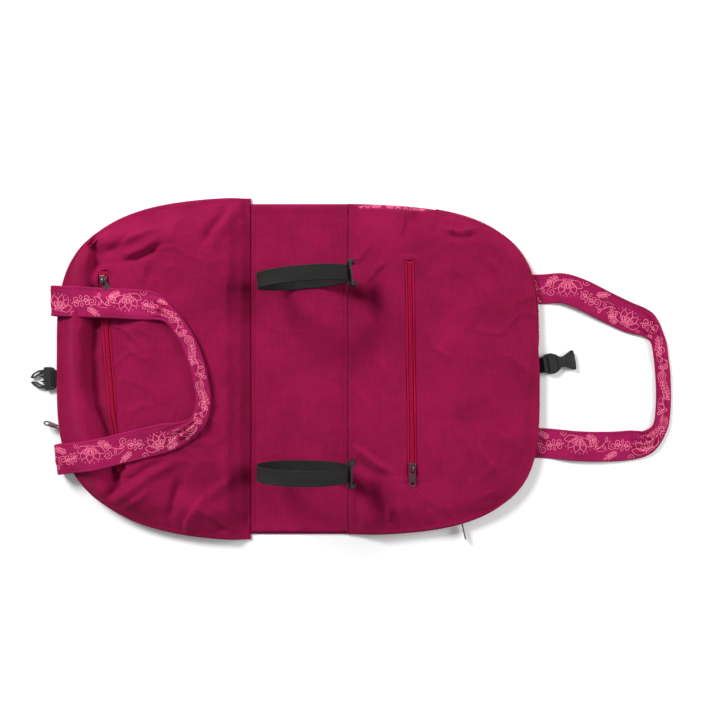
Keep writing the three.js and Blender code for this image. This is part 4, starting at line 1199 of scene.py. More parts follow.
    def stitching(self, shop: Workshop) -> bpy.types.Object:
        """Sew the pocket zip in, with a row on each side and across both ends."""
        room = self.pocket.tape_width / 2 + 0.3 + 2.6
        reach = 1 + 2 * 2.9 / self.pocket.length
        rows = []
        x, y = self.pocket.centre(self.plan, np.linspace(-reach, reach, 140))
        middle = Path.of(np.stack([x, y, np.zeros_like(x)], axis=1), UP)
        for side in (-1, 1):
            rows.append(self.on_canvas(middle.moved(side * room, 0).points))
        for end in (0, -1):
            ends = [middle.points[end] + s * room * middle.across[end] for s in (-1, 1)]
            rows.append(self.on_canvas(np.linspace(ends[0], ends[1], 12)))
        piece = shop.piece(
            f"pocket_zip_stitches_{self.label}",
            *gathered(Stitching().along(row) for row in rows),
            Finishes.canvas_thread,
        )
        return shop.fit(piece, Slot.PLAIN_CANVAS)

    def on_canvas(self, points: Array) -> Path:
        """Lay a line of points on the inner face."""
        x, y = points[:, 0], points[:, 1]
        z = self.top_at(x, y) + self.slot(x, y)
        return Path.of(np.stack([x, y, z], axis=1), UP)

    def build(self, shop: Workshop) -> None:
        """Make the whole pouch."""
        self.inner_face(shop)
        self.outer_face(shop)
        self.walls(shop)
        self.edge_teeth(shop)
        self.pocket_tape(shop)
        self.pocket_teeth(shop)
        self.stitching(shop)


def teeth(line: Path, width: float, height: float, pitch: float) -> Mesh:
    """Set interlocking coil turns along a line.

    Args:
        line: the line at one point a turn.
        width: how far the coil reaches across.
        height: how far it stands up.
        pitch: the space of the turns.

    Returns:
        The points and the faces.
    """
    w, h, p = width / 2, height, 0.44 * pitch
    section = [(-w, 0.0), (-w, 0.55 * h), (-0.72 * w, h), (0.72 * w, h), (w, 0.55 * h), (w, 0.0)]
    slices = ((-p, 0.62), (-0.35 * p, 1.0), (0.35 * p, 1.0), (p, 0.62))
    offsets = np.array([(a, x, z * k) for a, k in slices for x, z in section])
    forward = unit(np.gradient(line.points, axis=0))
    slant = np.where(np.arange(len(line.points)) % 2, 1.0, -1.0)[:, None, None] * 0.05
    across = offsets[None, :, 1:2] * (1 + slant * np.sign(offsets[None, :, 1:2]))
    points = (
        line.points[:, None, :]
        + forward[:, None, :] * offsets[None, :, 0:1]
        + line.across[:, None, :] * across
        + line.up[:, None, :] * offsets[None, :, 2:3]
    )
    faces = []
    for i in range(3):
        for j in range(6):
            a, b = i * 6 + j, i * 6 + (j + 1) % 6
            faces.append([a, b, b + 6, a + 6])
    faces += [list(range(6))[::-1], list(range(18, 24))]
    every = [[k * 24 + i for i in face] for k in range(len(line.points)) for face in faces]
    return points.reshape(-1, 3), every


@dataclass(frozen=True)
class RouteMark:
    """One row of a handle's route: shares of the reach and half length, openness, and rise."""

    out: float
    side: float
    flat: float
    rise: float


class Lie(Enum):
    """What a handle lies on."""

    POUCH = "on its pouch"
    FLOOR = "on the floor"


@dataclass
class HandleSurface:
    """The upper face of a handle as a grid, read by distance along and across it."""

    points: Array
    normals: Array
    walked: Array
    half_width: Array

    def at(self, along: Array, across: Array) -> tuple[Array, Array]:
        """Return places and normals for distances along the handle and shares across it."""
        i = np.interp(along, self.walked, np.arange(len(self.walked)))
        j = (np.clip(across, -1, 1) + 1) / 2 * (self.points.shape[1] - 1)
        i0 = np.clip(i.astype(int), 0, self.points.shape[0] - 2)
        j0 = np.clip(j.astype(int), 0, self.points.shape[1] - 2)
        a, b = (i - i0)[:, None], (j - j0)[:, None]

        def read(grid: Array) -> Array:
            """Interpolate a grid at the places."""
            low = mix(grid[i0, j0], grid[i0, j0 + 1], b)
            return mix(low, mix(grid[i0 + 1, j0], grid[i0 + 1, j0 + 1], b), a)

        return read(self.points), unit(read(self.normals))


@dataclass
class Handle:
    """A printed carry handle: a wide band whose middle is folded in half for the grip."""

    label: str
    pouch: Pouch
    lie: Lie
    route: tuple[RouteMark, ...]
    band_width: float = 40.0
    band_thickness: float = 2.4
    grip_width: float = 20.0
    grip_thickness: float = 5.0
    leg_under: float = 72.0
    wrap: float = 4.0
    seam_share: float = 0.83
    steps: int = 14
    across_count: int = 33

    def samples(self) -> tuple[Array, Array, Array]:
        """Walk the route.

        Returns:
            The places on the floor plan, the openness and the bow at each.
        """
        plan = self.pouch.plan
        marks = np.array([[plan.sign * plan.reach * m.out, plan.half_length * m.side] for m in self.route])
        ends = [2 * marks[0] - marks[1], 2 * marks[-1] - marks[-2]]
        knots = np.vstack([ends[0], marks, ends[1]])
        gaps = np.sqrt(np.linalg.norm(np.diff(knots, axis=0), axis=1))
        times = np.concatenate([[0], np.cumsum(gaps)])
        places, flat, rise = [], [], []
        for k in range(len(self.route) - 1):
            p, t = knots[k : k + 4], times[k : k + 4]
            last = k == len(self.route) - 2
            for s in np.linspace(0, 1, self.steps, endpoint=False).tolist() + ([1.0] if last else []):
                now = mix(t[1], t[2], s)
                a = [mix(p[i], p[i + 1], (now - t[i]) / (t[i + 1] - t[i])) for i in range(3)]
                b = [mix(a[i], a[i + 1], (now - t[i]) / (t[i + 2] - t[i])) for i in range(2)]
                places.append(mix(b[0], b[1], (now - t[1]) / (t[2] - t[1])))
                flat.append(mix(self.route[k].flat, self.route[k + 1].flat, s))
                rise.append(mix(self.route[k].rise, self.route[k + 1].rise, s))
        return np.array(places), smooth(np.array(flat)), np.array(rise) * self.band_width

    def clutter(self, x: Array, y: Array) -> Array:
        """Return how far the pocket zip and its pull stand above the canvas at some places."""
        across, along = self.pouch.pocket.local(self.pouch.plan, x, y)
        over_coil = smooth((6.0 - np.abs(across)) / 3.0) * (np.abs(along) < self.pouch.pocket.length / 2)
        height = 1.6 * over_coil
        for cx, cy, _ in self.pouch.calm:
            near = smooth((23.0 - np.hypot(x - cx - 5.0, (y - cy + 14.0) * 0.8)) / 7.0)
            height = np.maximum(height, 7.0 * near)
        return height

    def sheet(self) -> tuple[Array, Array, Array, Array, Array]:
        """Lay the handle.

        Returns:
            The middle line, the ways across and up, the half widths and the openness, and the resting
            lift at each place across.
        """
        places, flat, bow = self.samples()
        forward = unit(np.gradient(places, axis=0))
        side = np.stack([-forward[:, 1], forward[:, 0]], axis=1)
        half = mix(self.grip_width, self.band_width, flat) / 2
        thick = mix(self.grip_thickness, self.band_thickness, flat)
        t = np.linspace(-1, 1, self.across_count)
        x = places[:, :1] + side[:, :1] * half[:, None] * t
        y = places[:, 1:] + side[:, 1:] * half[:, None] * t
        if self.lie is Lie.POUCH:
            rest = spread(self.pouch.top_at(x, y) + self.clutter(x, y), 2)
            rest = blur(rest, 3)
            rest = np.maximum(rest, blur(rest.T, 4).T) + 0.35
        else:
            rest = np.zeros_like(x)
        low = rest + bow[:, None]
        centre = low.mean(axis=1)
        line = np.column_stack([places, centre + thick / 2])
        lift = low - centre[:, None]
        if self.lie is Lie.POUCH:
            head = self.round_the_edge(line[0], line[0] - line[1])[::-1]
            tail = self.round_the_edge(line[-1], line[-1] - line[-2])
            ends = (len(head), len(tail))
            line = np.vstack([head, line, tail])
            flat = np.concatenate([np.ones(ends[0]), flat, np.ones(ends[1])])
            fade = [np.linspace(0, 1, ends[0] + 1)[:-1] ** 2, np.linspace(1, 0, ends[1] + 1)[1:] ** 2]
            lift = np.vstack([fade[0][:, None] * lift[:1], lift, fade[1][:, None] * lift[-1:]])
        along = unit(np.gradient(line, axis=0))
        level = np.hypot(along[:, 0], along[:, 1])
        across = np.stack([-along[:, 1], along[:, 0], np.zeros(len(line))], axis=1)
        trusted = np.flatnonzero(level > 0.35)
        nearest = trusted[np.argmin(np.abs(np.arange(len(line))[:, None] - trusted[None, :]), axis=1)]
        across = unit(across[nearest])
        for i in range(1, len(across)):
            if np.dot(across[i], across[i - 1]) < 0:
                across[i] = -across[i]
        up = unit(np.cross(along, across))
        middle = len(line) // 2
        if up[middle, 2] < 0:
            up = -up
        return line, across, up, flat, lift

    def round_the_edge(self, end: Array, way: Array) -> Array:
        """Turn the band round the pouch's edge and in under the bag.

        Args:
            end: the middle line's last place on top.
            way: the way that it leaves in.

        Returns:
            The places after it.
        """
        plan = self.pouch.plan
        out = unit(np.array([way[0], way[1], 0.0]))
        side = np.array([-out[1], out[0], 0.0])
        reach = []
        for s in (-1, 0, 1):
            corner = end + side * s * self.band_width / 2
            _, v = plan.shares(np.array([corner[0]]), np.array([corner[1]]))
            edge_x, _ = plan.point(np.array([1.0]), v)
            reach.append(abs(edge_x[0] - end[0]) / abs(out[0]) + 1.5)
        edge, low, high = max(reach), self.band_thickness / 2, end[2]
        turn = []
        for angle in np.linspace(math.pi / 2, -math.pi / 2, 15):
            place = end + out * (edge + self.wrap * math.cos(angle))
            place[2] = mix(low, high, 0.5 + math.sin(angle) / 2)
            turn.append(place)
        inner = turn[-1].copy()
        inner[0] = plan.sign * (plan.reach - self.leg_under)
        top = [mix(end, turn[0], s) for s in (0.35, 0.7)]
        return np.array(top + turn + [mix(turn[-1], inner, s) for s in (0.25, 0.5, 0.75, 1.0)])

    def build(self, shop: Workshop, print_pattern: "Print") -> None:
        """Make the handle, its stitches and its print."""
        line, across, up, flat, lift = self.sheet()
        half = (mix(self.grip_width, self.band_width, flat) / 2)[:, None]
        thick = (mix(self.grip_thickness, self.band_thickness, flat) / 2)[:, None]
        t = np.linspace(-1, 1, self.across_count)[None, :]
        walked = Path(line, across, up).walked
        open_band = flat[:, None]
        edge = 1 - np.abs(t) ** mix(5.0, 16.0, open_band)
        profile = thick * mix(0.18, 1.0, np.sqrt(np.maximum(edge, 0)))
        hem = 0.45 * bump(np.abs(t), 0.93, 0.05) - 0.4 * bump(np.abs(t), self.seam_share, 0.035)
        fold_line = -1.5 * bump(t, 0.22, 0.09) + 0.5 * bump(t, -0.25, 0.4)
        turning = 4 * open_band * (1 - open_band)
        creases = turning * 1.5 * np.sin(11 * t + 0.11 * walked[:, None]) * np.exp(-((t / 0.8) ** 2))
        soft = np.array([
            [noise.noise(Vector((s / 26, a * h / 11, self.pouch.crumple.seed))) for a in t[0]]
            for s, h in zip(walked.tolist(), half[:, 0].tolist())
        ])
        relief = hem * open_band + fold_line * (1 - open_band) + 1.6 * creases
        top_rise = lift + profile + relief + 1.1 * soft
        low_rise = lift - profile + 0.9 * soft
        base = line[:, None, :] + across[:, None, :] * (half * t)[..., None]
        top = base + up[:, None, :] * top_rise[..., None]
        bottom = base + up[:, None, :] * low_rise[..., None]
        top[..., 2] = np.maximum(top[..., 2], 0.4)
        bottom[..., 2] = np.maximum(bottom[..., 2], 0.0)
        piece = shop.piece(f"handle_{self.label}_band", *slab(top, bottom), Finishes.cotton)
        shop.fit(piece, Slot.PRINTED_COTTON, f"handle_{self.label}")
        normals = unit(np.cross(np.gradient(top, axis=0), np.gradient(top, axis=1)))
        middle = normals[len(line) // 2, self.across_count // 2]
        if middle[2] < 0:
            normals = -normals
        surface = HandleSurface(top, normals, walked, half[:, 0])
        rows = [self.row(surface, side * self.seam_share) for side in (-1, 1)]
        sewn = shop.piece(
            f"handle_{self.label}_stitches",
            *gathered(Stitching().along(row, 4.0) for row in rows),
            Finishes.canvas_thread,
        )
        shop.fit(sewn, Slot.PRINTED_COTTON)
        print_pattern.on_handle(shop, self.label, surface, flat)

    def row(self, surface: HandleSurface, share: float) -> Path:
        """Return the line along the handle at a share across it."""
        marks = np.linspace(surface.walked[0], surface.walked[-1], 500)
        points, normals = surface.at(marks, np.full(500, share))
        return Path.of(points, normals)


@dataclass(frozen=True)
class Motif:
    """One figure of the print, drawn about its own middle in millimetres."""

    lines: tuple[tuple[Point, ...], ...]
    dots: tuple[tuple[float, float, float], ...] = ()

    @staticmethod
    def curl(x: float, y: float, radius: float, start: float, turns: float) -> tuple[Point, ...]:
        """Draw a spiral that winds in from its outer end."""
        steps = max(10, int(abs(turns) * 16))
        share = np.linspace(0, 1, steps + 1)
        angle = start + turns * 2 * math.pi * share
        r = radius * (1 - 0.86 * share)
        return tuple(zip((x + r * np.cos(angle)).tolist(), (y + r * np.sin(angle)).tolist()))

    @staticmethod
    def leaf(x: float, y: float, length: float, width: float, way: float) -> tuple[Point, ...]:
        """Draw a pointed leaf's outline from its stalk."""
        share = np.linspace(0, 1, 9)
        belly = width / 2 * np.sin(math.pi * share) ** 0.8
        along = np.concatenate([share, share[::-1][1:]]) * length
        beside = np.concatenate([belly, -belly[::-1][1:]])
        c, s = math.cos(way), math.sin(way)
        return tuple(zip((x + c * along - s * beside).tolist(), (y + s * along + c * beside).tolist()))

    @staticmethod
    def arc(x: float, y: float, radius: float, start: float, end: float) -> tuple[Point, ...]:
        """Draw an arc."""
        angle = np.linspace(start, end, 12)
        return tuple(zip((x + radius * np.cos(angle)).tolist(), (y + radius * np.sin(angle)).tolist()))

    @classmethod
    def rosette(cls) -> Motif:
        """Four curls and four petals round a dot."""
        lines = [cls.curl(6.4 * c, 6.4 * s, 4.4, math.atan2(-s, -c), 1.4 * h) for c, s, h in FOUR_WAYS]
        ways = (0.0, 1.5708, 3.1416, 4.7124)
        lines += [cls.leaf(1.6 * math.cos(w), 1.6 * math.sin(w), 5.4, 2.8, w) for w in ways]
        return cls(tuple(lines), ((0.0, 0.0, 0.9), (10.4, 0.0, 0.7), (-10.4, 0.0, 0.7)))

    @classmethod
    def fan(cls) -> Motif:
        """A half flower: five petals, smaller ones inside, over two arcs and under dots."""
        ways = [math.pi * k / 6 for k in range(1, 6)]
        rays = [(math.cos(w), math.sin(w), w) for w in ways]
        petals = [cls.leaf(4.6 * c, 4.6 * s, 14.0 + 2.0 * s, 8.0, w) for c, s, w in rays]
        petals += [cls.leaf(6.4 * c, 6.4 * s, 6.6, 2.8, w) for c, s, w in rays[1:4]]
        petals += [cls.arc(0, 0, r, 0.05, math.pi - 0.05) for r in (4.2, 2.2)]
        petals += [cls.curl(20.0 * s, 1.6, 4.6, math.pi / 2 - s * 1.9, 1.4 * s) for s in (1, -1)]
        spread_ways = np.linspace(0.7, math.pi - 0.7, 9).tolist()
        dots = tuple((21.6 * math.cos(w), 21.6 * math.sin(w), 0.6) for w in spread_ways)
        return cls(tuple(petals), dots)

    @classmethod
    def scroll(cls) -> Motif:
        """A long wave with a curl at each end, leaves on its back and a row of dots."""
        wave = tuple((x, 3.4 * math.sin(x / 4.6)) for x in np.linspace(-12, 12, 26).tolist())
        lines = [wave, cls.curl(-12.0, 3.6, 5.4, -1.2, 1.6), cls.curl(12.0, -3.6, 5.4, 1.9, 1.6)]
        leaves = ((-5.0, 2.2), (0.0, -1.0), (5.0, 1.1))
        lines += [cls.leaf(x, 3.4 * math.sin(x / 4.6), 6.0, 2.8, w) for x, w in leaves]
        dots = tuple((-8.0 + 2.4 * k, -7.4 + 0.5 * abs(k - 3), 0.55) for k in range(7))
        return cls(tuple(lines), dots)

    @classmethod
    def spray(cls) -> Motif:
        """A stem of leaves set in pairs."""
        stem = tuple((x, 0.9 * math.sin(x / 4.5)) for x in np.linspace(-13, 13, 18).tolist())
        leaves = [cls.leaf(x, 0.0, 6.8, 3.0, s * 0.85) for x in (-10.0, -5.0, 0.0, 5.0) for s in (1, -1)]
        return cls((stem, *leaves, cls.leaf(10.0, 0.0, 7.0, 3.2, 0.0)))

    @classmethod
    def drop(cls) -> Motif:
        """A bud inside an open leaf inside another, with a curl on its stalk."""
        sizes = ((-5.0, 17.0, 11.0), (-3.0, 11.5, 6.6), (-1.0, 6.0, 2.8))
        lines = [cls.leaf(x, 0.0, length, width, 0.0) for x, length, width in sizes]
        lines += [cls.curl(-9.6, 2.0, 4.4, -0.3, -1.4), cls.curl(-7.6, -5.2, 3.2, 1.1, 1.2)]
        ways = np.linspace(-1.1, 1.1, 7).tolist()
        dots = tuple((3.0 + 10.4 * math.cos(w), 7.6 * math.sin(w), 0.6) for w in ways)
        return cls(tuple(lines), dots)


FOUR_WAYS = ((0.9, 0.44, 1), (-0.9, 0.44, -1), (-0.9, -0.44, 1), (0.9, -0.44, -1))


@dataclass(frozen=True)
class Spot:
    """Where a motif stands: along, across, turned, and its size."""

    motif: Motif
    along: float
    across: float
    turn: float = 0.0
    scale: float = 1.0

    def drawn(self) -> tuple[list[Array], list[tuple[float, float, float]]]:
        """Return the motif's lines and dots in their place."""
        c, s = math.cos(self.turn) * self.scale, math.sin(self.turn) * self.scale
        lines = []
        for line in self.motif.lines:
            x, y = np.array(line).T
            lines.append(np.column_stack([self.along + c * x - s * y, self.across + s * x + c * y]))
        dots = []
        for x, y, r in self.motif.dots:
            dots.append((self.along + c * x - s * y, self.across + s * x + c * y, r * self.scale))
        return lines, dots


@dataclass
class Print:
    """The light lines printed on the patterned cotton: curls, buds, half flowers and leaf sprays."""

    line_width: float = 0.72
    proud: float = 0.14
    sunk: float = 0.12
    reading: list[Motif] = field(default_factory=lambda: [
        Motif.rosette(), Motif.fan(), Motif.scroll(), Motif.drop(), Motif.spray(),
    ])

    def ribbon(self, line: Array, lay: Lay) -> Mesh:
        """Lay one printed line on a surface.

        Args:
            line: its points in the surface's own plan.
            lay: gives places and normals for points of the plan.

        Returns:
            The points and the faces.
        """
        forward = unit(np.gradient(line, axis=0))
        side = np.stack([-forward[:, 1], forward[:, 0]], axis=1)
        taper = np.sqrt(np.sin(np.linspace(0.25, math.pi - 0.25, len(line))))
        width = self.line_width / 2 * mix(0.55, 1.0, taper)
        left, left_up = lay(line + side * width[:, None])
        right, right_up = lay(line - side * width[:, None])
        rings = [left + self.proud * left_up, right + self.proud * right_up]
        rings += [right - self.sunk * right_up, left - self.sunk * left_up]
        return tube(np.stack(rings, axis=1))

    def dot(self, x: float, y: float, radius: float, lay: Lay) -> Mesh:
        """Lay one printed dot on a surface."""
        angle = np.linspace(0, 2 * math.pi, 10, endpoint=False)
        edge, up = lay(np.stack([x + radius * np.cos(angle), y + radius * np.sin(angle)], axis=1))
        return tube(np.stack([edge - self.sunk * up, edge + self.proud * up]))

    def laid(self, spots: Iterable[Spot], lay: Lay, inside: Callable[[Array], Array]) -> list[Mesh]:
        """Lay motifs on a surface and leave out what would fall off it.

        Args:
            spots: where the motifs stand.
            lay: gives places and normals for points of the plan.
            inside: tells which points of the plan are on the cloth.

        Returns:
            One mesh for each line and dot.
        """
        parts = []
        for spot in spots:
            lines, dots = spot.drawn()
            for line in lines:
                keep = inside(line)
                runs = np.split(np.arange(len(line)), np.flatnonzero(np.diff(keep.astype(int))) + 1)
                parts += [self.ribbon(line[run], lay) for run in runs if keep[run[0]] and len(run) > 2]
            for x, y, r in dots:
                if inside(np.array([[x, y]]))[0]:
                    parts.append(self.dot(x, y, r, lay))
        return parts

    def on_handle(self, shop: Workshop, label: str, surface: HandleSurface, flat: Array) -> None:
        """Print a handle's upper face."""
        total = surface.walked[-1]
        spots = []
        along, k = 16.0, 0
        while along < total - 14:
            open_here = float(np.interp(along, surface.walked, flat))
            side = 1 if k % 2 else -1
            if open_here > 0.5:
                turned = 0.2 * side + (math.pi if side > 0 else 0)
                across = (14.0, 1.0, -2.0)[k % 3] * side
                spots.append(Spot(self.reading[(1, 0, 2)[k % 3]], along, across, turned, 1.1))
                if k % 3:
                    small = self.reading[(3, 4, 0)[k % 3]]
                    spots.append(Spot(small, along + 15, -11.5 * side, -0.5 * side, 0.7))
                along += (33.0, 27.0, 31.0)[k % 3]
            else:
                spots.append(Spot(self.reading[(2, 3, 4)[k % 3]], along, 1.0 * side, 0.3 * side, 0.95))
                along += 20.0
            k += 1

        def half(places: Array) -> Array:
            """Return the handle's half width at some places."""
            return np.interp(places[:, 0], surface.walked, surface.half_width)

        def lay(places: Array) -> tuple[Array, Array]:
            """Return places on the cloth and its normals there."""
            return surface.at(places[:, 0], places[:, 1] / half(places))

        def inside(places: Array) -> Array:
            """Tell which places are clear of the cloth's edges."""
            clear = (places[:, 0] > 4) & (places[:, 0] < total - 4)
            return clear & (np.abs(places[:, 1]) < half(places) - 1.6)

        parts = self.laid(spots, lay, inside)
        piece = shop.piece(f"handle_{label}_print", *gathered(parts), Finishes.ink, flat=True)
        shop.fit(piece, Slot.PRINTED_COTTON)

    def on_band(self, shop: Workshop, name: str, surface: HandleSurface) -> None:
        """Print a side band's outer face."""
        total, half = surface.walked[-1], surface.half_width[0]
        spots = []
        for k, along in enumerate(np.arange(12.0, total - 6, 15.0).tolist()):
            kind, across = ((2, 0.0), (0, 1.0), (3, -0.5), (1, -5.0))[k % 4]
            spots.append(Spot(self.reading[kind], along, across, 0.2 * k, 0.62))

        def lay(places: Array) -> tuple[Array, Array]:
            """Return places on the cloth and its normals there."""
            return surface.at(places[:, 0], places[:, 1] / half)

        def inside(places: Array) -> Array:
            """Tell which places are clear of the cloth's edges."""
            return (places[:, 0] > 2) & (places[:, 0] < total - 2) & (np.abs(places[:, 1]) < half - 0.6)

        piece = shop.piece(f"{name}_print", *gathered(self.laid(spots, lay, inside)), Finishes.ink, flat=True)
        shop.fit(piece, Slot.PRINTED_COTTON)

    def under(self, shop: Workshop, left: Pouch, right: Pouch, base: "Base") -> None:
        """Print the bag's outer face, which lies on the floor."""
        spots = []
        for i, x in enumerate(np.arange(-300, 301, 46.0).tolist()):
            for j, y in enumerate(np.arange(-200, 201, 44.0).tolist()):
                kind = self.reading[(i * 2 + j * 3) % 5]
                spots.append(Spot(kind, x, y + (22 if i % 2 else 0), 0.9 * i + 1.7 * j, 1.15))

        def low_at(places: Array) -> Array:
            """Return the height of the outer face's lower side at some places."""
            x, y = places[:, 0], places[:, 1]
            low = np.zeros(len(places))
            for pouch in (left, right):
                u, v = pouch.plan.shares(x, y)
                on = u > pouch.plan.fold_share
                low = np.where(on, pouch.lift(np.clip(u, 0, 1), np.clip(v, -1, 1)), low)
            return low

        def lay(places: Array) -> tuple[Array, Array]:
            """Return places on the cloth and its normals there."""
            points = np.column_stack([places, low_at(places)])
            return points, np.tile([0.0, 0.0, -1.0], (len(points), 1))

        def inside(places: Array) -> Array:
            """Tell which places are clear of the cloth's edges."""
            clear = base.holds(places)
            for pouch in (left, right):
                u, v = pouch.plan.shares(places[:, 0], places[:, 1])
                half = (u > pouch.plan.fold_share + 0.01) & (pouch.rim_space(u, v) > 7)
                steep = np.abs(low_at(places) - low_at(places + [3.0, 3.0])) < 0.2
                clear |= half & (pouch.lift(np.clip(u, 0, 1), np.clip(v, -1, 1)) < 0.01) & steep
            return clear

        flush = Print(self.line_width, 0.02, 0.12)
        piece = shop.piece("outer_print", *gathered(flush.laid(spots, lay, inside)), Finishes.ink, flat=True)
        shop.fit(piece, Slot.PRINTED_COTTON)


@dataclass
class Base:
    """The strip between the two pouches: printed below, plain lining above, with sewn and turned edges."""

    left_edge: float = -67.4
    right_edge: float = 61.4
    half_length: float = 221.0
    cloth: float = 1.5
    gap: float = 0.3
    hem: float = 9.0
    crumple: Crumple = Crumple(31.0, 0.5, 48.0, 0.5, 30.0)

    def holds(self, places: Array) -> Array:
        """Tell which places are well on the strip."""
        x, y = places[:, 0], places[:, 1]
        return (x > self.left_edge + 3) & (x < self.right_edge - 3) & (np.abs(y) < self.half_length - 6)

    def build(self, shop: Workshop) -> None:
        """Make the strip's two layers and their seams."""
        x = lines_through([self.left_edge, self.right_edge], 2.6)
        y = lines_through([-self.half_length, self.half_length], 2.6)
        gx, gy = np.meshgrid(x, y, indexing="ij")
        low = np.stack([gx, gy, np.zeros_like(gx)], axis=-1)
        high = low + [0.0, 0.0, self.cloth]
        base = shop.piece("base_strip", *slab(high, low), Finishes.cotton)
        shop.fit(base, Slot.PRINTED_COTTON, "outer_base")
        gy = gy * (self.half_length - 2 * self.cloth) / self.half_length
        end = self.half_length - 2 * self.cloth - np.abs(gy)
        side = np.minimum(gx - self.left_edge, self.right_edge - gx)
        hem = 0.8 * smooth((self.hem - end) / 1.6) - 0.5 * bump(end, self.hem - 2.0, 0.9)
        seam = 0.9 * bump(side, 0.0, 3.0) - 0.35 * bump(side, 5.0, 1.0)
        free = smooth(side / 10) * smooth(end / 12)
        rise = hem + seam + np.maximum(self.crumple.at(gx, gy), -0.1) * free
        foot = self.cloth + self.gap
        under = np.stack([gx, gy, np.full_like(gx, foot)], axis=-1)
        over = under + [0.0, 0.0, self.cloth]
        over[..., 2] += rise
        lining = shop.piece("lining_sheet", *slab(over, under), Finishes.canvas)
        shop.fit(lining, Slot.PLAIN_CANVAS, "mat_lining")
        rows = []
        top = foot + self.cloth + 0.05
        for line_x in (self.left_edge + 5.0, self.right_edge - 5.0):
            ends = [[line_x, -self.half_length + 8, top], [line_x, self.half_length - 8, top]]
            rows.append(Path.of(np.linspace(ends[0], ends[1], 80), UP))
        for line_y in (-1, 1):
            place = line_y * (self.half_length - 2 * self.cloth - self.hem + 2.0)
            ends = [[self.left_edge + 6, place, top + 0.3], [self.right_edge - 6, place, top + 0.3]]
            rows.append(Path.of(np.linspace(ends[0], ends[1], 40), UP))
        seams = gathered(Stitching().along(row) for row in rows)
        sewn = shop.piece("lining_stitches", *seams, Finishes.canvas_thread)
        shop.fit(sewn, Slot.PLAIN_CANVAS)


@dataclass(frozen=True)
class Webbing:
    """The ribbed webbing's section: flat, with a firm rounded edge."""

    width: float = 20.0
    thickness: float = 1.6

    def section(self, low: float = 0.0) -> Array:
        """Return the section's ring, standing on a height."""
        w, t = self.width / 2, self.thickness
        upper = [(-w, 0.35 * t), (-w + 0.35, 0.8 * t), (-w + 1.1, t), (-w + 2.2, 0.88 * t)]
        upper += [(-w / 2, 0.9 * t), (0.0, 0.92 * t)]
        upper += [(-x, z) for x, z in upper[-2::-1]]
        lower = [(x, t - z) for x, z in upper[::-1]]
        return np.array([(x, z + low) for x, z in upper[:-1] + lower[:-1]])


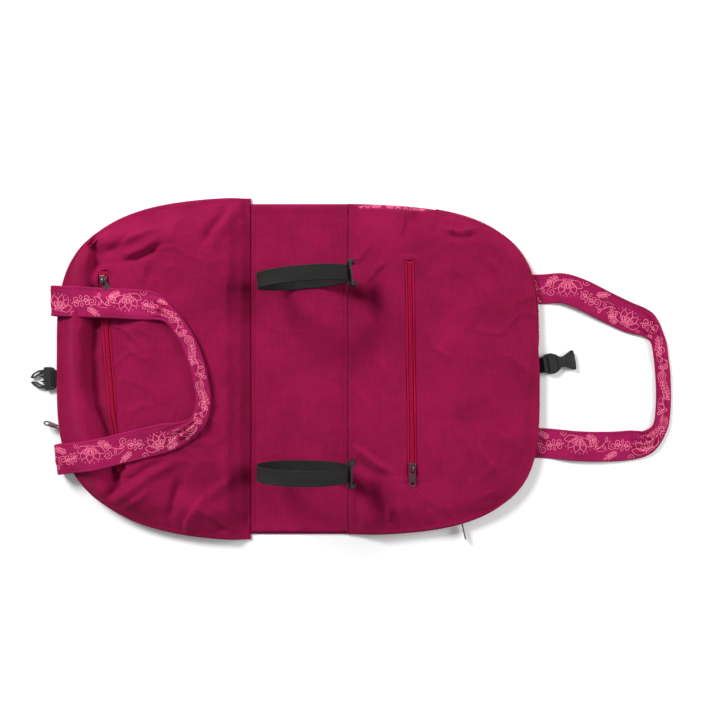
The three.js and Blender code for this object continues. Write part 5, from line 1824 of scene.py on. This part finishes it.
@dataclass
class MatLoop:
    """A round webbing loop, with its plastic adjuster and the webbing's sewn end."""

    label: str
    place: float
    yaw: float
    radius: float = 57.0
    axis_offset: float = 5.0
    flatting: float = 1.6
    lining_top: float = 3.3
    gap: float = 0.3
    adjuster_length: float = 30.0
    adjuster_width: float = 34.0
    adjuster_lift: float = 2.8
    bar: float = 4.2
    rail: float = 5.4
    bulge: float = 4.2
    webbing: Webbing = Webbing()

    @property
    def matrix(self) -> Matrix:
        """Where the loop stands."""
        floor = -(self.radius + self.webbing.thickness) + self.flatting
        place = Vector((self.axis_offset, self.place, self.lining_top + self.gap - floor))
        return Matrix.Translation(place) @ Matrix.Rotation(self.yaw, 4, "Z")

    def line(self, count: int = 240, low: float = 0.0) -> Array:
        """Return the loop's inner line about its own axis."""
        angle = np.linspace(0, 2 * math.pi, count, endpoint=False)
        turned = np.abs((angle + math.pi) % (2 * math.pi) - math.pi)
        hump = self.adjuster_lift * smooth(1.25 - turned * self.radius / (self.adjuster_length / 2))
        r = self.radius + hump + low
        floor = -(self.radius + self.webbing.thickness) + self.flatting + self.webbing.thickness
        z = np.maximum(r * np.sin(angle), floor - low)
        return np.stack([r * np.cos(angle), np.zeros(count), z], axis=1)

    def build(self, shop: Workshop) -> None:
        """Make the loop, its sewn end and its adjuster."""
        line = self.line()
        outward = unit(line * [1.0, 0.0, 1.0])
        outward[:, 2] = np.where(line[:, 2] < -self.radius + 1.2, -1.0, outward[:, 2])
        across = np.tile([0.0, 1.0, 0.0], (len(line), 1))
        path = Path(line, across, unit(outward))
        strip = strip_places(path, self.webbing.section())
        points, faces = placed(ring(path.swept(self.webbing.section())), self.matrix)
        piece = shop.piece(f"mat_loop_{self.label}_webbing", points, faces, Finishes.webbing, strip)
        shop.fit(piece, Slot.BLACK_WEBBING, f"mat_loop_{self.label}")
        self.sewn_end(shop, path)
        self.adjuster(shop)

    def sewn_end(self, shop: Workshop, path: Path) -> None:
        """Make the webbing's doubled end below the adjuster, with its boxed stitching."""
        angle = np.linspace(-0.42, -1.02, 30)
        r = self.radius + self.webbing.thickness + 0.25
        line = np.stack([r * np.cos(angle), np.zeros(30), r * np.sin(angle)], axis=1)
        tail = Path(line, np.tile([0.0, 1.0, 0.0], (30, 1)), unit(line))
        section = self.webbing.section()
        points, faces = placed(tube(tail.swept(section)), self.matrix)
        strip = strip_places(tail, section)
        piece = shop.piece(f"mat_loop_{self.label}_end", points, faces, Finishes.webbing, strip)
        shop.fit(piece, Slot.BLACK_WEBBING)
        corners = [(-7.0, 3), (7.0, 3), (7.0, 19), (-7.0, 19)]
        lines = [(corners[k], corners[(k + 1) % 4]) for k in range(4)]
        lines += [(corners[0], corners[2]), (corners[1], corners[3])]
        rows = []
        for (a0, s0), (a1, s1) in lines:
            spots = tail.at(np.linspace(s0, s1, 14))
            shift = np.linspace(a0, a1, 14)[:, None]
            on = spots.points + spots.across * shift + spots.up * (0.93 * self.webbing.thickness)
            rows.append(Stitching().along(Path.of(on, spots.up), 0.4))
        seams = placed(gathered(rows), self.matrix)
        sewn = shop.piece(f"mat_loop_{self.label}_stitches", *seams, Finishes.dark_thread)
        shop.fit(sewn, Slot.BLACK_WEBBING)

    def adjuster(self, shop: Workshop) -> None:
        """Make the adjuster: two curved rails, two outer bars and the bar that the webbing turns on."""
        inner, t = self.radius + self.gap, self.webbing.thickness
        low = self.radius + t + 3 * self.gap
        high = low + self.bar
        length, rail = self.adjuster_length, self.rail
        side = [(low, -length / 2), (high - 1, -length / 2), (high + self.bulge, -length / 4)]
        side += [(high + self.bulge, length / 4), (high - 1, length / 2), (low, length / 2)]
        side += [(inner, length / 4), (inner, -length / 4)]
        outline = rounded(side, 3.2)
        upright = Matrix.Rotation(math.pi / 2, 4, "X")
        parts = []
        for s in (-1, 1):
            middle = s * (self.adjuster_width - rail) / 2
            plate = Plate(outline, -rail / 2, rail / 2, 0.9, rounds=2).mesh()
            parts.append(placed(placed(plate, upright), Matrix.Translation((0, middle, 0))))
        reach = self.adjuster_width / 2 - rail / 2
        for z in (-length / 2 + self.bar / 2 + 0.2, length / 2 - self.bar / 2 - 0.2):
            parts.append(bar((low + 2.1, -reach, z), (low + 2.1, reach, z), 2.0, 18))
        top = self.radius + self.adjuster_lift - 3 * self.gap
        middle = (inner + top) / 2
        parts.append(bar((middle, -reach, 0), (middle, reach, 0), (top - inner) / 2, 16))
        for z in (-1.2, 0.0, 1.2):
            ridge = high + self.bulge + 0.05
            for s in (-1, 1):
                a = s * (self.adjuster_width / 2 - 1.0)
                b = s * (self.adjuster_width / 2 - rail + 1.0)
                parts.append(bar((ridge, a, 2.2 * z), (ridge, b, 2.2 * z), 0.45, 8))
        moulding = placed(gathered(parts), self.matrix)
        piece = shop.piece(f"loop_adjuster_{self.label}_body", *moulding, Finishes.plastic)
        shop.fit(piece, Slot.BLACK_PLASTIC, f"loop_adjuster_{self.label}")


@dataclass
class Closure:
    """One half of the buckle with the webbing that ties it to the bag, drawn along +X from the edge."""

    label: str
    edge: tuple[float, float]
    turn: float
    show: float
    under: float = 42.0
    bar_radius: float = 1.5
    gap: float = 0.3
    webbing: Webbing = Webbing()

    @property
    def matrix(self) -> Matrix:
        """Where the strap leaves the bag."""
        return Matrix.Translation((*self.edge, 0.0)) @ Matrix.Rotation(self.turn, 4, "Z")

    @property
    def eye(self) -> float:
        """The height of the buckle's bar."""
        return self.bar_radius + self.gap + self.webbing.thickness

    def strap(self, shop: Workshop) -> None:
        """Make the strap: out along the floor, round the bar and back down on itself."""
        t = self.webbing.thickness
        out = [(x, 0.0, 0.0) for x in np.linspace(-self.under, self.show, 40).tolist()]
        turn = [
            (self.show + self.eye * math.cos(a), 0.0, self.eye + self.eye * math.sin(a))
            for a in np.linspace(-math.pi / 2, math.pi / 2, 18)[1:].tolist()
        ]
        tuck = self.show * 0.7
        back = [
            (self.show - 1 - s * tuck, 0.0, mix(2 * self.eye, 2 * t + 0.1, float(smooth(1.6 * s))))
            for s in np.linspace(0, 1, 12).tolist()
        ]
        line = np.array(out + turn + back)
        along = unit(np.gradient(line, axis=0))
        across = np.tile([0.0, 1.0, 0.0], (len(line), 1))
        inner = -unit(np.cross(along, across))
        path = Path(line, across, inner if inner[0, 2] > 0 else -inner)
        section = self.webbing.section()
        strip = strip_places(path, section)
        points, faces = placed(tube(path.swept(section)), self.matrix)
        piece = shop.piece(f"closure_strap_{self.label}_webbing", points, faces, Finishes.webbing, strip)
        shop.fit(piece, Slot.BLACK_WEBBING, f"closure_strap_{self.label}")

    def bar(self, width: float) -> Mesh:
        """Make the bar that the webbing turns on."""
        return bar((self.show, -width / 2, self.eye), (self.show, width / 2, self.eye), self.bar_radius, 16)

    def build(self, shop: Workshop) -> None:
        """Make the strap and the buckle half."""
        self.strap(shop)
        moulding = placed(gathered(self.body()), self.matrix)
        piece = shop.piece(f"buckle_{self.label}_body", *moulding, Finishes.plastic)
        shop.fit(piece, Slot.BLACK_PLASTIC, f"buckle_{self.label}")

    def window(self, radius: float) -> list[Point]:
        """Return the outline of the opening that the webbing goes through."""
        room, half = self.eye + 0.5, self.webbing.width / 2 + 0.8
        low, high = self.show - room, self.show + room
        return rounded([(low, -half), (high, -half), (high, half), (low, half)], radius)

    def body(self) -> list[Mesh]:
        """Return the buckle half's meshes."""
        raise NotImplementedError


@dataclass
class BuckleSocket(Closure):
    """The socket half: a webbing frame, a waist with open sides, and a flared hollow mouth."""

    width: float = 27.0
    length: float = 40.0
    wall: float = 1.4

    def body(self) -> list[Mesh]:
        """Return the socket's meshes."""
        w, start = self.width / 2, self.show - self.bar_radius

        def at(share: float) -> float:
            """Return the place at a share of the socket's length."""
            return start + share * self.length

        def line(side: int, *places: Point) -> list[Point]:
            """Set out places on one side, as shares of the length and half width."""
            return [(at(share), side * w * out) for share, out in places]

        half = line(1, (0, 0.72), (0.06, 0.96), (0.24, 1), (0.4, 0.78), (0.52, 0.53))
        half += line(1, (0.64, 0.53), (0.78, 0.74), (0.94, 1), (0.99, 0.9), (1, 0.35))
        outline = rounded(half + [(x, -y) for x, y in half[::-1]], 0.8)
        window = self.window(1.5)
        deep = 2 * self.eye
        frame_end = at(0.4)
        front = [(x, y) for x, y in outline if x <= frame_end]
        back = [(x, y) for x, y in outline if x >= frame_end - 0.8]
        parts = []
        for low, high in ((0.0, self.wall), (deep - self.wall, deep)):
            parts.append(Plate(front[::-1], low, high, 0.45, (window[::-1],)).mesh())
            parts.append(Plate(back[::-1], low, high, 0.45, (), 2).mesh())
        for s in (-1, 1):
            frame = line(s, (0.0, 0.66), (0.07, 0.95), (0.3, 0.96), (0.38, 0.8), (0.3, 0.8), (0.1, 0.8))
            cheek = line(s, (0.52, 0.5), (0.64, 0.5), (0.78, 0.7), (0.94, 0.96), (0.98, 0.88))
            cheek += line(s, (0.94, 0.84), (0.78, 0.6), (0.64, 0.4), (0.52, 0.4))
            for edge in (frame, cheek):
                ordered = edge if s > 0 else edge[::-1]
                parts.append(Plate(rounded(ordered, 0.8), 0.6, deep - 0.6, 0.3).mesh())
        ridge = [(at(0.68), -3.4), (at(0.9), -5.2), (at(0.9), 5.2), (at(0.68), 3.4)]
        parts.append(Plate(rounded(ridge, 1.6), deep - 0.6, deep + 0.35, 0.35, rounds=2).mesh())
        lip = [(at(0.4), -w * 0.6), (at(0.46), -w * 0.5), (at(0.46), w * 0.5), (at(0.4), w * 0.6)]
        parts.append(Plate(rounded(lip, 0.8), 0.6, deep - 0.6, 0.3).mesh())
        parts.append(self.bar(self.width - 2))
        return parts


@dataclass
class BucklePlug(Closure):
    """The plug half: a webbing frame, two springy looped arms and two short guides."""

    width: float = 30.0
    frame_length: float = 13.0
    arm_length: float = 19.5
    thickness: float = 4.6

    def body(self) -> list[Mesh]:
        """Return the plug's meshes."""
        w, start = self.width / 2, self.show - self.bar_radius
        end, low = start + self.frame_length, self.eye - self.thickness / 2
        high = low + self.thickness
        frame = [(start, w * 0.7), (start + 3, w * 0.95), (end - 1, w), (end, w * 0.9)]
        outline = rounded(frame + [(x, -y) for x, y in frame[::-1]], 2.2)
        window = self.window(1.2)
        parts = [Plate(outline, low, high, 0.8, (window,), 2).mesh(), self.bar(self.width - 3)]
        for s in (-1, 1):
            parts.append(self.arm(s, w, end, low, high))
            point = (end + self.arm_length * 0.38, s * w * 0.22)
            guide = [(end - 1, s * w * 0.36), point, (end - 1, s * w * 0.06)]
            ordered = guide if s > 0 else guide[::-1]
            parts.append(Plate(rounded(ordered, 0.9), low + 0.7, high - 0.7, 0.4).mesh())
        return parts

    def arm(self, s: int, w: float, end: float, low: float, high: float) -> Mesh:
        """Make one looped arm."""
        a = self.arm_length

        def line(*places: Point) -> list[Point]:
            """Set out places beyond the frame, as shares of the arm's length and half width."""
            return [(end + a * out, s * w * beside) for out, beside in places]

        outer = [(end - 1, s * w * 0.84), *line((0.4, 0.81), (0.8, 0.56), (1, 0.22))]
        outer += [*line((0.92, 0.12), (0.6, 0.2), (0.3, 0.48)), (end - 1, s * w * 0.6)]
        hole = line((0.3, 0.69), (0.7, 0.5), (0.84, 0.27), (0.62, 0.31), (0.34, 0.55))
        if s < 0:
            outer, hole = outer[::-1], hole[::-1]
        return Plate(rounded(outer, 1.8), low + 0.6, high - 0.6, 0.5, (rounded(hole, 0.9),)).mesh()


@dataclass
class ZipSlider:
    """A zip slider and its pull tab. X is across the zip, Y along it and Z away from the tape."""

    label: str
    slider: Matrix
    pull: Matrix
    pull_body: str = BODY
    width: float = 9.0
    length: float = 12.0
    plate: float = 1.7
    skirt: float = 1.6
    plate_low: float = 2.3
    pivot_height: float = 5.6
    bail_inner: float = 7.2
    bail_thickness: float = 1.2
    bail_width: float = 2.0
    bail_half: float = 3.4
    setback: float = 2.0
    pull_length: float = 25.0
    pull_thickness: float = 1.4
    neck: float = 8.0
    tip: float = 9.6
    gap_low: float = 0.3

    def build(self, shop: Workshop) -> None:
        """Make the slider and its pull."""
        parts = [placed(part, self.slider) for part in self.body()]
        piece = shop.piece(f"{self.label}_slider_body", *gathered(parts), Finishes.metal)
        shop.fit(piece, Slot.GUNMETAL, f"{self.label}_slider")
        tab = shop.piece(f"{self.label}_pull_tab", *placed(self.tab(), self.pull), Finishes.metal)
        shop.fit(tab, Slot.GUNMETAL, f"{self.label}_pull", body=self.pull_body)

    def body(self) -> list[Mesh]:
        """Return the slider's meshes: its wing plate, skirts and bail."""
        w, l = self.width / 2, self.length / 2
        half = [(w * 0.72, l), (w, l * 0.72), (w, l * 0.1), (w * 0.82, -l)]
        outline = rounded([*half, *[(-x, y) for x, y in half[::-1]]], 1.6)
        top = self.plate_low + self.plate
        parts = [Plate(outline[::-1], self.plate_low, top, 0.45, rounds=2).mesh()]
        for s in (-1, 1):
            skirt = [(s * w, l * 0.66), (s * w, l * 0.1), (s * w * 0.82, -l * 0.96)]
            skirt += [(s * (w * 0.82 - 1.2), -l * 0.96), (s * (w - self.skirt), l * 0.1)]
            skirt.append((s * (w - self.skirt), l * 0.66))
            ordered = skirt[::-1] if s > 0 else skirt
            parts.append(Plate(rounded(ordered, 0.5), self.gap_low, self.plate_low + 0.5, 0.25).mesh())
        high, foot = self.bail_inner + self.bail_thickness / 2, top - 0.3
        reach = self.bail_half - self.bail_thickness / 2
        arch = rounded([(-reach, foot), (-reach, high), (reach, high), (reach, foot)], 1.5, 5)
        line = np.array([(0.0, y - self.setback, z) for y, z in arch[6:-6]])
        line = np.vstack([[0.0, -reach - self.setback, foot], line, [0.0, reach - self.setback, foot]])
        path = Path.of(line, np.array([1.0, 0.0, 0.0]))
        w2, t2 = self.bail_thickness / 2, self.bail_width / 2
        low = [(-w2, -t2 * 0.6), (-w2 * 0.6, -t2), (w2 * 0.6, -t2), (w2, -t2 * 0.6)]
        section = np.array(low + [(x, -y) for x, y in low[::-1]])
        parts.append(tube(path.swept(section)))
        return parts

    def tab(self) -> Mesh:
        """Return the pull tab's mesh, its cross bar on X through the origin and its tip towards -Y."""
        neck, tip, back = self.neck / 2, self.tip / 2, self.pull_thickness / 2
        start, waist = -self.pull_length + tip, -self.pull_length * 0.3

        def bow(radius: float, count: int) -> list[Point]:
            """Draw a half round at the tip."""
            turn = np.linspace(math.pi, 2 * math.pi, count).tolist()
            return [(radius * math.cos(a), start + radius * math.sin(a)) for a in turn]

        outline = [(-neck + 0.6, back), (-neck, back - 0.6), (-neck, waist), *bow(tip, 15)]
        outline += [(neck, waist), (neck, back - 0.6), (neck - 0.6, back)]
        eye = rounded([(-2.8, -back), (2.8, -back), (2.8, -back - 5.2), (-2.8, -back - 5.2)], 0.6)
        r = 2.7
        hole = [(-r, start + r * 0.7), *bow(r, 11), (r, start + r * 0.7)]
        return Plate(outline, -back, back, 0.3, (eye, hole), 2).mesh()


def frame_of(place: Sequence[float], x: Sequence[float], y: Sequence[float]) -> Matrix:
    """Return the matrix of a place with its own X and Y, in millimetres."""
    z = np.cross(x, y)
    return Matrix([[x[k], y[k], float(z[k]), place[k]] for k in range(3)] + [[0, 0, 0, 1]])


@dataclass
class Studio:
    """The plain pale floor, the soft light and the camera."""

    eye: tuple[float, float, float] = (78.0, 12.0, 1210.0)
    lens: float = 45.1
    floor_size: float = 6000.0

    def build(self) -> None:
        """Make the floor, the lights and the camera."""
        self.camera()
        self.floor()
        self.lights()

    def camera(self) -> None:
        """Set the camera straight above the bag."""
        data = bpy.data.cameras.new("camera")
        data.lens, data.sensor_width = self.lens, 36.0
        data.clip_start = 0.05
        camera = bpy.data.objects.new("camera", data)
        camera.location = Vector(self.eye) * MM
        bpy.context.scene.collection.objects.link(camera)
        bpy.context.scene.camera = camera

    def floor(self) -> None:
        """Lay the floor just under the bag."""
        h = self.floor_size / 2
        mesh = bpy.data.meshes.new("floor")
        corners = ((-h, -h), (h, -h), (h, h), (-h, h))
        mesh.from_pydata([(x * MM, y * MM, -0.0002) for x, y in corners], [], [(0, 1, 2, 3)])
        pad = NodePad("pale_floor")
        shade = pad.cloud(pad.place(), 900.0, 1.0)
        colour = pad.blend(shade, (0.93, 0.93, 0.93), (0.96, 0.96, 0.96))
        mesh.materials.append(pad.finish(colour, 0.9, shade, 0.0))
        floor = bpy.data.objects.new("floor", mesh)
        bpy.context.scene.collection.objects.link(floor)

    def lights(self) -> None:
        """Hang two large soft lamps and fill the room with even light."""
        world = bpy.data.worlds.new("room")
        world.use_nodes = True
        background = world.node_tree.nodes["Background"]
        background.inputs["Color"].default_value = (1.0, 1.0, 1.0, 1.0)
        background.inputs["Strength"].default_value = 0.36
        bpy.context.scene.world = world
        lamps = (("key", (-1600, 1700, 1800), 1000, 104.0), ("fill", (2300, 500, 1200), 1300, 46.0))
        for name, place, size, power in lamps:
            data = bpy.data.lights.new(name, "AREA")
            data.shape, data.size, data.energy = "SQUARE", size * MM, power
            lamp = bpy.data.objects.new(name, data)
            lamp.location = Vector(place) * MM
            lamp.rotation_euler = (-lamp.location).to_track_quat("-Z", "Y").to_euler()
            bpy.context.scene.collection.objects.link(lamp)
        bpy.context.scene.view_settings.view_transform = "Standard"


LEFT = HalfPlan(-1, 325.0, 229.0, 68.0, 3.8, 3.4, 13.0, 30.0)
RIGHT = HalfPlan(1, 317.0, 222.0, 62.0, 4.2, 4.2, 8.0, 48.0)

LEFT_BASINS = (
    Stroke(((-262, 178), (-260, 110), (-266, 30), (-262, -60), (-246, -168)), -7.0, 12.0, -3.6),
    Stroke(((-160, 190), (-175, 60), (-165, -60), (-150, -160)), 2.6, 45.0),
    Stroke(((-215, 60), (-190, -10), (-195, -70)), -2.4, 30.0),
    Stroke(((-190, -205), (-140, -190), (-95, -200)), 3.0, 24.0),
)
RIGHT_BASINS = (
    Stroke(((100, 120), (150, 60), (215, 10)), 2.6, 28.0),
    Stroke(((190, 130), (225, 40), (215, -90)), -2.4, 30.0),
    Stroke(((95, -20), (140, -60), (200, -130)), 2.2, 26.0),
    Stroke(((262, 130), (272, 30), (262, -110)), 2.4, 22.0),
    Stroke(((75, 60), (90, -30), (80, -100)), -2.0, 20.0),
)
LEFT_STROKES = (
    Stroke(
        (
            (-282, 176), (-272, 152), (-273, 133), (-272, 113), (-275, 65), (-278, 32), (-276, -22),
            (-270, -51), (-259, -72), (-250, -100), (-248, -133), (-247, -158), (-258, -180),
        ),
        -14.5, 5.6, -0.9,
    ),
    Stroke(((-289, 160), (-292, 91), (-295, 25), (-292, -41), (-280, -93), (-269, -150)), 6.8, 9.0),
    Stroke(((-290, 100), (-297, 60), (-296, 10)), 2.2, 5.0, 0.4),
    Stroke(((-240, 147), (-219, 153), (-203, 160), (-180, 175)), 6.2, 6.5),
    Stroke(((-238, 140), (-217, 146), (-200, 153), (-178, 167)), -5.0, 4.5, 0.3),
    Stroke(((-250, 157), (-226, 172), (-200, 182), (-176, 186)), 3.6, 5.5, 0.4),
    Stroke(((-262, 150), (-240, 163), (-222, 178)), -4.0, 5.5, 0.2),
    Stroke(((-203, 148), (-207, 131), (-208, 108)), 3.2, 7.0),
    Stroke(((-193, 146), (-196, 128), (-197, 110)), -2.6, 6.0),
    Stroke(((-93, 221), (-104, 200), (-117, 184), (-130, 160)), -6.0, 6.5, 0.35),
    Stroke(((-86, 218), (-98, 192), (-108, 178), (-118, 150)), 4.0, 7.5),
    Stroke(((-150, 205), (-166, 186), (-172, 160)), 2.6, 8.0, 0.3),
    Stroke(((-84, 226), (-81, 200)), 3.4, 3.2, 0.2),
    Stroke(((-75, 224), (-74, 190)), -3.0, 3.4, 0.2),
    Stroke(((-78, 215), (-78, 91), (-79, -80), (-78, -212)), 4.6, 6.0),
    Stroke(((-90, 130), (-93, 40), (-89, -60), (-92, -140)), -2.0, 5.0),
    Stroke(((-262, -178), (-232, -164), (-200, -139), (-155, -116)), 5.6, 8.0, 0.3),
    Stroke(((-258, -166), (-230, -152), (-205, -134), (-170, -118)), -4.6, 5.5),
    Stroke(((-240, -186), (-215, -172), (-196, -158)), 3.2, 5.0, 0.4),
    Stroke(((-173, -200), (-166, -170), (-158, -140)), -6.4, 7.0, 0.3),
    Stroke(((-152, -226), (-150, -203), (-135, -178), (-122, -163)), 6.4, 9.0, 0.66),
    Stroke(((-137, -178), (-117, -193), (-94, -214)), 3.4, 6.0, 0.4),
    Stroke(((-128, -172), (-105, -155), (-82, -138)), 3.4, 9.0, 0.35),
    Stroke(((-120, -190), (-108, -205), (-100, -224)), -3.6, 6.0),
    Stroke(((-84, -190), (-66, -222)), -4.6, 6.0),
    Stroke(((-140, -60), (-122, -100), (-118, -140)), 2.4, 7.0, 0.3),
    Stroke(((-236, 40), (-215, 18), (-190, 10)), 1.8, 5.0, 0.4),
    Stroke(((-232, -60), (-208, -46), (-188, -50)), 1.6, 5.0, 0.4),
)
RIGHT_STROKES = (
    Stroke(((72, -150), (71, -220)), -5.0, 8.0),
    Stroke(((84, -160), (86, -214)), 3.4, 7.0),
    Stroke(((186, 187), (208, 181), (238, 188)), 4.0, 4.2, 0.5),
    Stroke(((190, 178), (210, 172), (236, 178)), -2.4, 4.5, 0.2),
    Stroke(((113, 144), (100, 130), (84, 112)), 3.6, 5.0, 0.5),
    Stroke(((92, 168), (80, 150), (70, 140)), 2.8, 5.0, 0.4),
    Stroke(((63, -101), (81, -111), (100, -124), (126, -138)), 6.6, 7.0, 0.5),
    Stroke(((66, -122), (84, -131), (108, -146)), -3.6, 6.0),
    Stroke(((136, 216), (135, 196), (132, 174)), 4.0, 3.4, 0.2),
    Stroke(((150, 214), (149, 192)), -3.0, 3.6, 0.2),
    Stroke(((176, 210), (173, 180)), 3.6, 3.4, 0.2),
    Stroke(((201, 204), (197, 176)), 3.4, 3.4, 0.2),
    Stroke(((222, 194), (216, 170)), 2.4, 4.0, 0.2),
    Stroke(((110, -206), (112, -174)), 3.4, 3.6, 0.2),
    Stroke(((119, -208), (120, -186)), -2.6, 3.2),
    Stroke(((128, -208), (129, -176)), 3.2, 3.6, 0.2),
    Stroke(((149, -206), (147, -172)), 3.4, 3.6, 0.2),
    Stroke(((168, -204), (170, -182)), 2.4, 4.0, 0.2),
    Stroke(((196, -198), (192, -176)), 2.2, 4.0, 0.2),
    Stroke(((224, 96), (226, 20), (218, -67)), 2.4, 22.0),
    Stroke(((300, 120), (301, 40), (298, -40), (288, -124)), 3.4, 7.0, 0.3),
    Stroke(((244, 150), (262, 128), (268, 100)), 2.6, 7.0, 0.4),
    Stroke(((232, -150), (252, -128), (262, -100)), 2.4, 7.0, 0.4),
    Stroke(((163, 60), (176, 30), (200, 12)), 1.8, 5.0, 0.5),
    Stroke(((96, 20), (112, -4), (118, -36)), 1.8, 6.0, 0.4),
)

LEFT_ROUTE = tuple(RouteMark(*row) for row in (
    (0.96, 0.39, 1, 0), (0.82, 0.381, 1, 0), (0.665, 0.37, 1, 0), (0.59, 0.357, 0.75, 0.03),
    (0.52, 0.3, 0.1, 0.06),
    (0.464, 0.197, 0, 0.08), (0.42, 0.06, 0, 0.1), (0.395, -0.09, 0, 0.08), (0.388, -0.2, 0, 0.06),
    (0.41, -0.3, 0.15, 0.06), (0.47, -0.36, 0.5, 0.04), (0.56, -0.398, 0.9, 0.02), (0.68, -0.44, 1, 0),
    (0.83, -0.49, 1, 0), (0.945, -0.514, 1, 0),
))
RIGHT_ROUTE = tuple(RouteMark(*row) for row in (
    (0.775, 0.47, 1, 0), (0.9, 0.475, 1, 0), (1.03, 0.482, 1, 0), (1.1, 0.486, 1, 0.1),
    (1.18, 0.448, 1, 0.14),
    (1.28, 0.378, 1, 0.08), (1.375, 0.315, 1, 0.04), (1.452, 0.27, 0.7, 0.03), (1.5, 0.185, 0.1, 0.02),
    (1.518, 0.06, 0, 0), (1.527, -0.1, 0, 0), (1.525, -0.25, 0, 0), (1.51, -0.36, 0.1, 0.02),
    (1.455, -0.44, 0.6, 0.04), (1.37, -0.462, 1, 0.03), (1.26, -0.468, 1, 0.08), (1.15, -0.463, 1, 0.1),
    (1.05, -0.45, 1, 0), (0.9, -0.443, 1, 0), (0.775, -0.44, 1, 0),
))


def strips(upper: float, middle: float, lower: float) -> tuple[Strip, ...]:
    """Return the handle legs and the closing strap sewn under a half."""
    return Strip(upper, 40.0, 2.4, 72.0), Strip(middle, 20.0, 1.6, 42.0), Strip(lower, 40.0, 2.4, 72.0)


def pouches() -> tuple[Pouch, Pouch]:
    """Return the left and the right pouch."""
    left = Pouch(
        "left", LEFT, PocketZip(0.765, -0.012, ZIP_TURN, 4.0, 266.0), 0.15, 0.85, Peek.FULL,
        strips(0.408, -0.055, -0.547), LEFT_BASINS, LEFT_STROKES,
        Crumple(2.0, 3.0, 46.0, 3.4, 36.0), ((-260.0, 117.7, 17.0),),
    )
    right = Pouch(
        "right", RIGHT, PocketZip(0.458, 0.006, 0.013, 0.0, 284.0), 0.14, 0.86, Peek.SHY,
        strips(0.5, 0.02, -0.466), RIGHT_BASINS, RIGHT_STROKES,
        Crumple(17.0, 2.4, 50.0, 2.6, 42.0), ((146.9, -131.0, 22.0),),
    )
    return left, right


def sliders(left: Pouch) -> list[ZipSlider]:
    """Return the four zip sliders with their pulls."""
    x, y = left.pocket.centre(left.plan, np.array([1 - 24 / left.pocket.length]))
    tape = float(left.top_at(x, y)[0]) - left.pocket.edge_space - 0.3
    place = (float(x[0]), float(y[0]), tape)
    lean = (math.cos(ZIP_TURN), math.sin(ZIP_TURN), 0.0)
    along = (-lean[1], lean[0], 0.0)
    turned = (math.cos(0.538), math.sin(0.538), 0.0)
    pivot = (place[0] + 2 * lean[1], place[1] - 2 * lean[0], tape + 5.6)
    droop = Matrix.Rotation(0.2, 4, "X")
    rest = frame_of(pivot, turned, (-turned[1], turned[0], 0.0)) @ droop
    pocket_left = ZipSlider("pocket_zip_left", frame_of(place, lean, along), rest)
    x_axis, y_axis = (0.9999, 0.013, 0.0), (-0.013, 0.9999, 0.0)
    droop = Matrix.Rotation(0.17, 4, "X")
    pocket_right = ZipSlider(
        "pocket_zip_right",
        frame_of((146.876, -128.657, 22.899), x_axis, y_axis),
        frame_of((146.902, -130.657, 28.499), x_axis, y_axis) @ droop,
        "pocket_pull_right",
    )
    up = (0.0, 0.0, 1.0)
    swing = Matrix.Rotation(-(math.pi / 2 + 0.45), 4, "X") @ Matrix.Rotation(0.5, 4, "Y")
    edge_left = ZipSlider(
        "edge_zip_left",
        frame_of((-314.397, -76.029, 8.499), up, (-0.1246, 0.9922, 0.0)),
        frame_of((-319.705, -78.711, 8.499), up, (-0.1246, 0.9922, 0.0)) @ swing,
        "edge_pull_left",
    )
    swing = Matrix.Rotation(-(math.pi / 2 + 0.05), 4, "X")
    edge_right = ZipSlider(
        "edge_zip_right",
        frame_of((210.065, -198.591, 8.079), up, (-0.9654, -0.2607, 0.0)),
        frame_of((213.456, -203.476, 8.079), up, (-0.9654, -0.2607, 0.0)) @ swing,
        "edge_pull_right",
    )
    return [pocket_left, pocket_right, edge_left, edge_right]


def closures() -> list[Closure]:
    """Return the buckle's two halves, each where its strap leaves the bag."""
    found = []
    for plan, place in ((RIGHT, 0.02), (LEFT, -0.055)):
        x, y = plan.point(np.array([1.0]), np.array([place]))
        found.append((float(x[0]), float(y[0])))
    return [
        BuckleSocket("socket", found[0], 0.17, 10.5),
        BucklePlug("plug", found[1], math.pi + 0.07, 6.5),
    ]


def report(name: str, shop: Workshop, before: int) -> int:
    """Log how many pieces a sub-assembly added and return the new count."""
    LOG.info("%s: %d pieces", name, shop.count - before)
    return shop.count


def main() -> None:
    """Load the frame and build the bag on it, one sub-assembly after another."""
    logging.basicConfig(level=logging.INFO, format="%(name)s %(message)s")
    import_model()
    Studio().build()
    shop = Workshop()
    pattern = Print()
    left, right = pouches()
    base = Base()
    count = 0
    for pouch in (left, right):
        pouch.build(shop)
        count = report(f"pouch {pouch.label}", shop, count)
    base.build(shop)
    count = report("base", shop, count)
    handles = (Handle("left", left, Lie.POUCH, LEFT_ROUTE), Handle("right", right, Lie.FLOOR, RIGHT_ROUTE))
    for handle in handles:
        handle.build(shop, pattern)
        count = report(f"handle {handle.label}", shop, count)
    for loop in (MatLoop("upper", 117.0, 0.09), MatLoop("lower", -132.0, -0.02)):
        loop.build(shop)
        count = report(f"loop {loop.label}", shop, count)
    for closure in closures():
        closure.build(shop)
        count = report(f"closure {closure.label}", shop, count)
    for slider in sliders(left):
        slider.build(shop)
        count = report(slider.label, shop, count)
    pattern.under(shop, left, right, base)
    report("outer print", shop, count)


if __name__ == "__main__":
    main()
